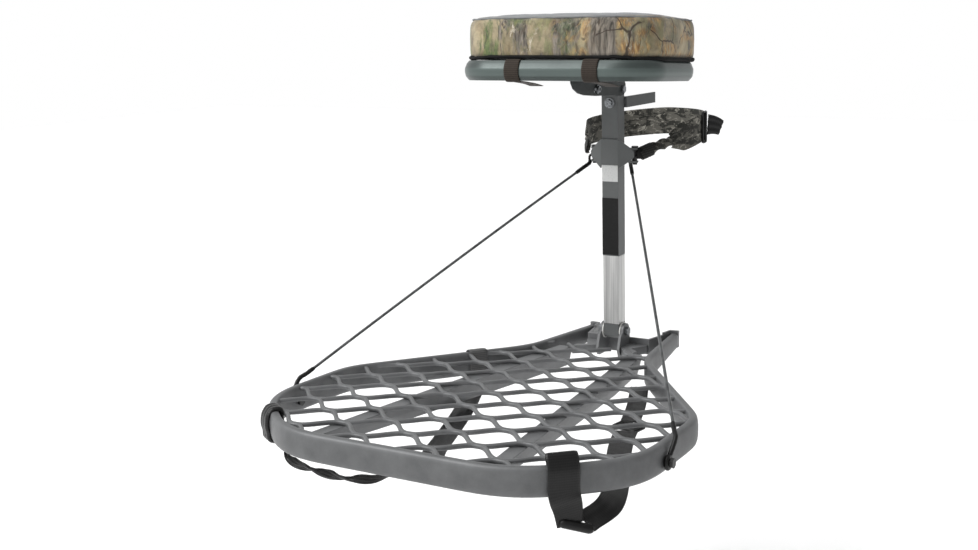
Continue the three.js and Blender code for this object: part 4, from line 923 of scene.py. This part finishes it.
CAD_LOOKS = {
    "trunk_notch_plate": CAST, "platform_brace_right": CAST, "platform_brace_left": CAST,
    "hinge_ear_right": CAST, "hinge_ear_left": CAST, "rear_strut_right": CAST, "rear_strut_left": CAST,
    "hinge_bolt": ZINC, "cable_bolt_right": BLACK_OXIDE, "cable_bolt_left": BLACK_OXIDE, "head_bolt": ZINC,
    "seat_hinge_bolt": ZINC, "wing_pin_right": BLACK_OXIDE, "wing_pin_left": BLACK_OXIDE, "level_bolt": ZINC,
    "hinge_washer_right": NYLON, "hinge_washer_left": NYLON,
    "post_tube_painted": POST_PAINT, "post_foot": POST_PAINT, "wing_bracket": POST_PAINT,
    # the seat's fins, spacer and cross plate take the paint darkened as painted shade
    "standoff_bracket": POST_PAINT, "seat_fin_right": FIN_PAINT_SHADED, "seat_fin_left": FIN_PAINT_SHADED,
    "seat_spacer": FIN_PAINT_SHADED, "seat_cross_plate": FIN_PAINT_SHADED,
    "post_tube_bare": BARE, "post_cap": BLACK, "label_white": LABEL_LIGHT, "label_dark": LABEL_DARK,
}


def paint_cad():
    for node, material in CAD_LOOKS.items():
        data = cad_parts[node].data
        data.materials.clear()
        data.materials.append(material)


def camera():
    """At the photographed angle: azimuth 29.8 degrees, 9.2 degrees down, very slightly rolled."""
    yaw, pitch, roll = (math.radians(a) for a in (29.8, 9.2, -1.32))
    ahead = Vector((-math.sin(yaw) * math.cos(pitch), math.cos(yaw) * math.cos(pitch), -math.sin(pitch)))
    right = Vector((math.cos(yaw), math.sin(yaw), 0))
    up = right.cross(ahead)
    right, up = (math.cos(roll) * right + math.sin(roll) * up, -math.sin(roll) * right + math.cos(roll) * up)
    lens = bpy.data.cameras.new("camera")
    lens.sensor_width = 36
    lens.lens = 45.79
    lens.shift_y = -0.0613
    eye = bpy.data.objects.new("camera", lens)
    bpy.context.scene.collection.objects.link(eye)
    turn = Matrix((right, up, -ahead)).transposed().to_4x4()
    eye.matrix_world = Matrix.Translation((0.878, -2.060, 0.574)) @ turn
    bpy.context.scene.camera = eye


def studio():
    floor_mesh = bpy.data.meshes.new("floor")
    reach, low = 9.0, -0.42
    floor_mesh.from_pydata([(-reach, -reach, low), (reach, -reach, low), (reach, reach, low), (-reach, reach, low)],
                           [], [(0, 1, 2, 3)])
    floor = bpy.data.objects.new("floor", floor_mesh)
    bpy.context.scene.collection.objects.link(floor)
    pale = Nodes("pale_floor")
    pale.set(Base_Color=pale.mix(pale.noise(900, 2, 0.5), rgb(250, 250, 250), rgb(253, 253, 253)), Roughness=0.9)
    floor_mesh.materials.append(pale.material)
    world = bpy.data.worlds.new("studio")
    world.use_nodes = True
    sky = world.node_tree
    place = sky.nodes.new("ShaderNodeTexCoord").outputs["Generated"]
    height = sky.nodes.new("ShaderNodeSeparateXYZ")
    sky.links.new(place, height.inputs[0])
    ramps = []
    for axis, stops in (("Z", ((0.30, 1.0), (0.60, 0.75))), ("X", ((0.05, 1.0), (0.60, 0.6)))):
        shade = sky.nodes.new("ShaderNodeValToRGB")
        for element, (at, value) in zip(shade.color_ramp.elements, stops):
            element.position = at
            element.color = (value, value, value, 1)
        sky.links.new(height.outputs[axis], shade.inputs[0])
        ramps.append(shade.outputs[0])
    both = sky.nodes.new("ShaderNodeMix")
    both.data_type, both.blend_type = "RGBA", "MULTIPLY"
    both.inputs[0].default_value = 1.0
    sky.links.new(ramps[0], both.inputs[6])
    sky.links.new(ramps[1], both.inputs[7])
    sky.links.new(both.outputs[2], sky.nodes["Background"].inputs["Color"])
    sky.nodes["Background"].inputs["Strength"].default_value = 1.0
    bpy.context.scene.world = world
    lights = (("key", "AREA", (-1.9, -2.4, 2.2), 1.5, 48), ("day", "SUN", (-1.2, -1.5, 2.6), 0.9, 1.7))
    for name, kind, place, size, power in lights:
        light = bpy.data.lights.new(name, kind)
        if kind == "AREA":
            light.shape = "DISK"
            light.size = size
        else:
            light.angle = size
        light.energy = power
        lamp = bpy.data.objects.new(name, light)
        bpy.context.scene.collection.objects.link(lamp)
        lamp.location = place
        lamp.rotation_euler = (Vector((0, -0.35, 0.25)) - Vector(place)).to_track_quat("-Z", "Y").to_euler()
    bpy.context.scene.view_settings.view_transform = "Standard"


camera()
studio()
paint_cad()
platform_rim()
platform_mesh()
for which in (1, -1):
    support_cable(which)
    upper_sleeve(which)
    lower_sleeve(which)
seat_rail()
cushion_strap(1, 76)
cushion_strap(-1, -58)
cushion()
cushion_trim()
tree_web()
tree_ends()
tree_keeper()
carry_straps()
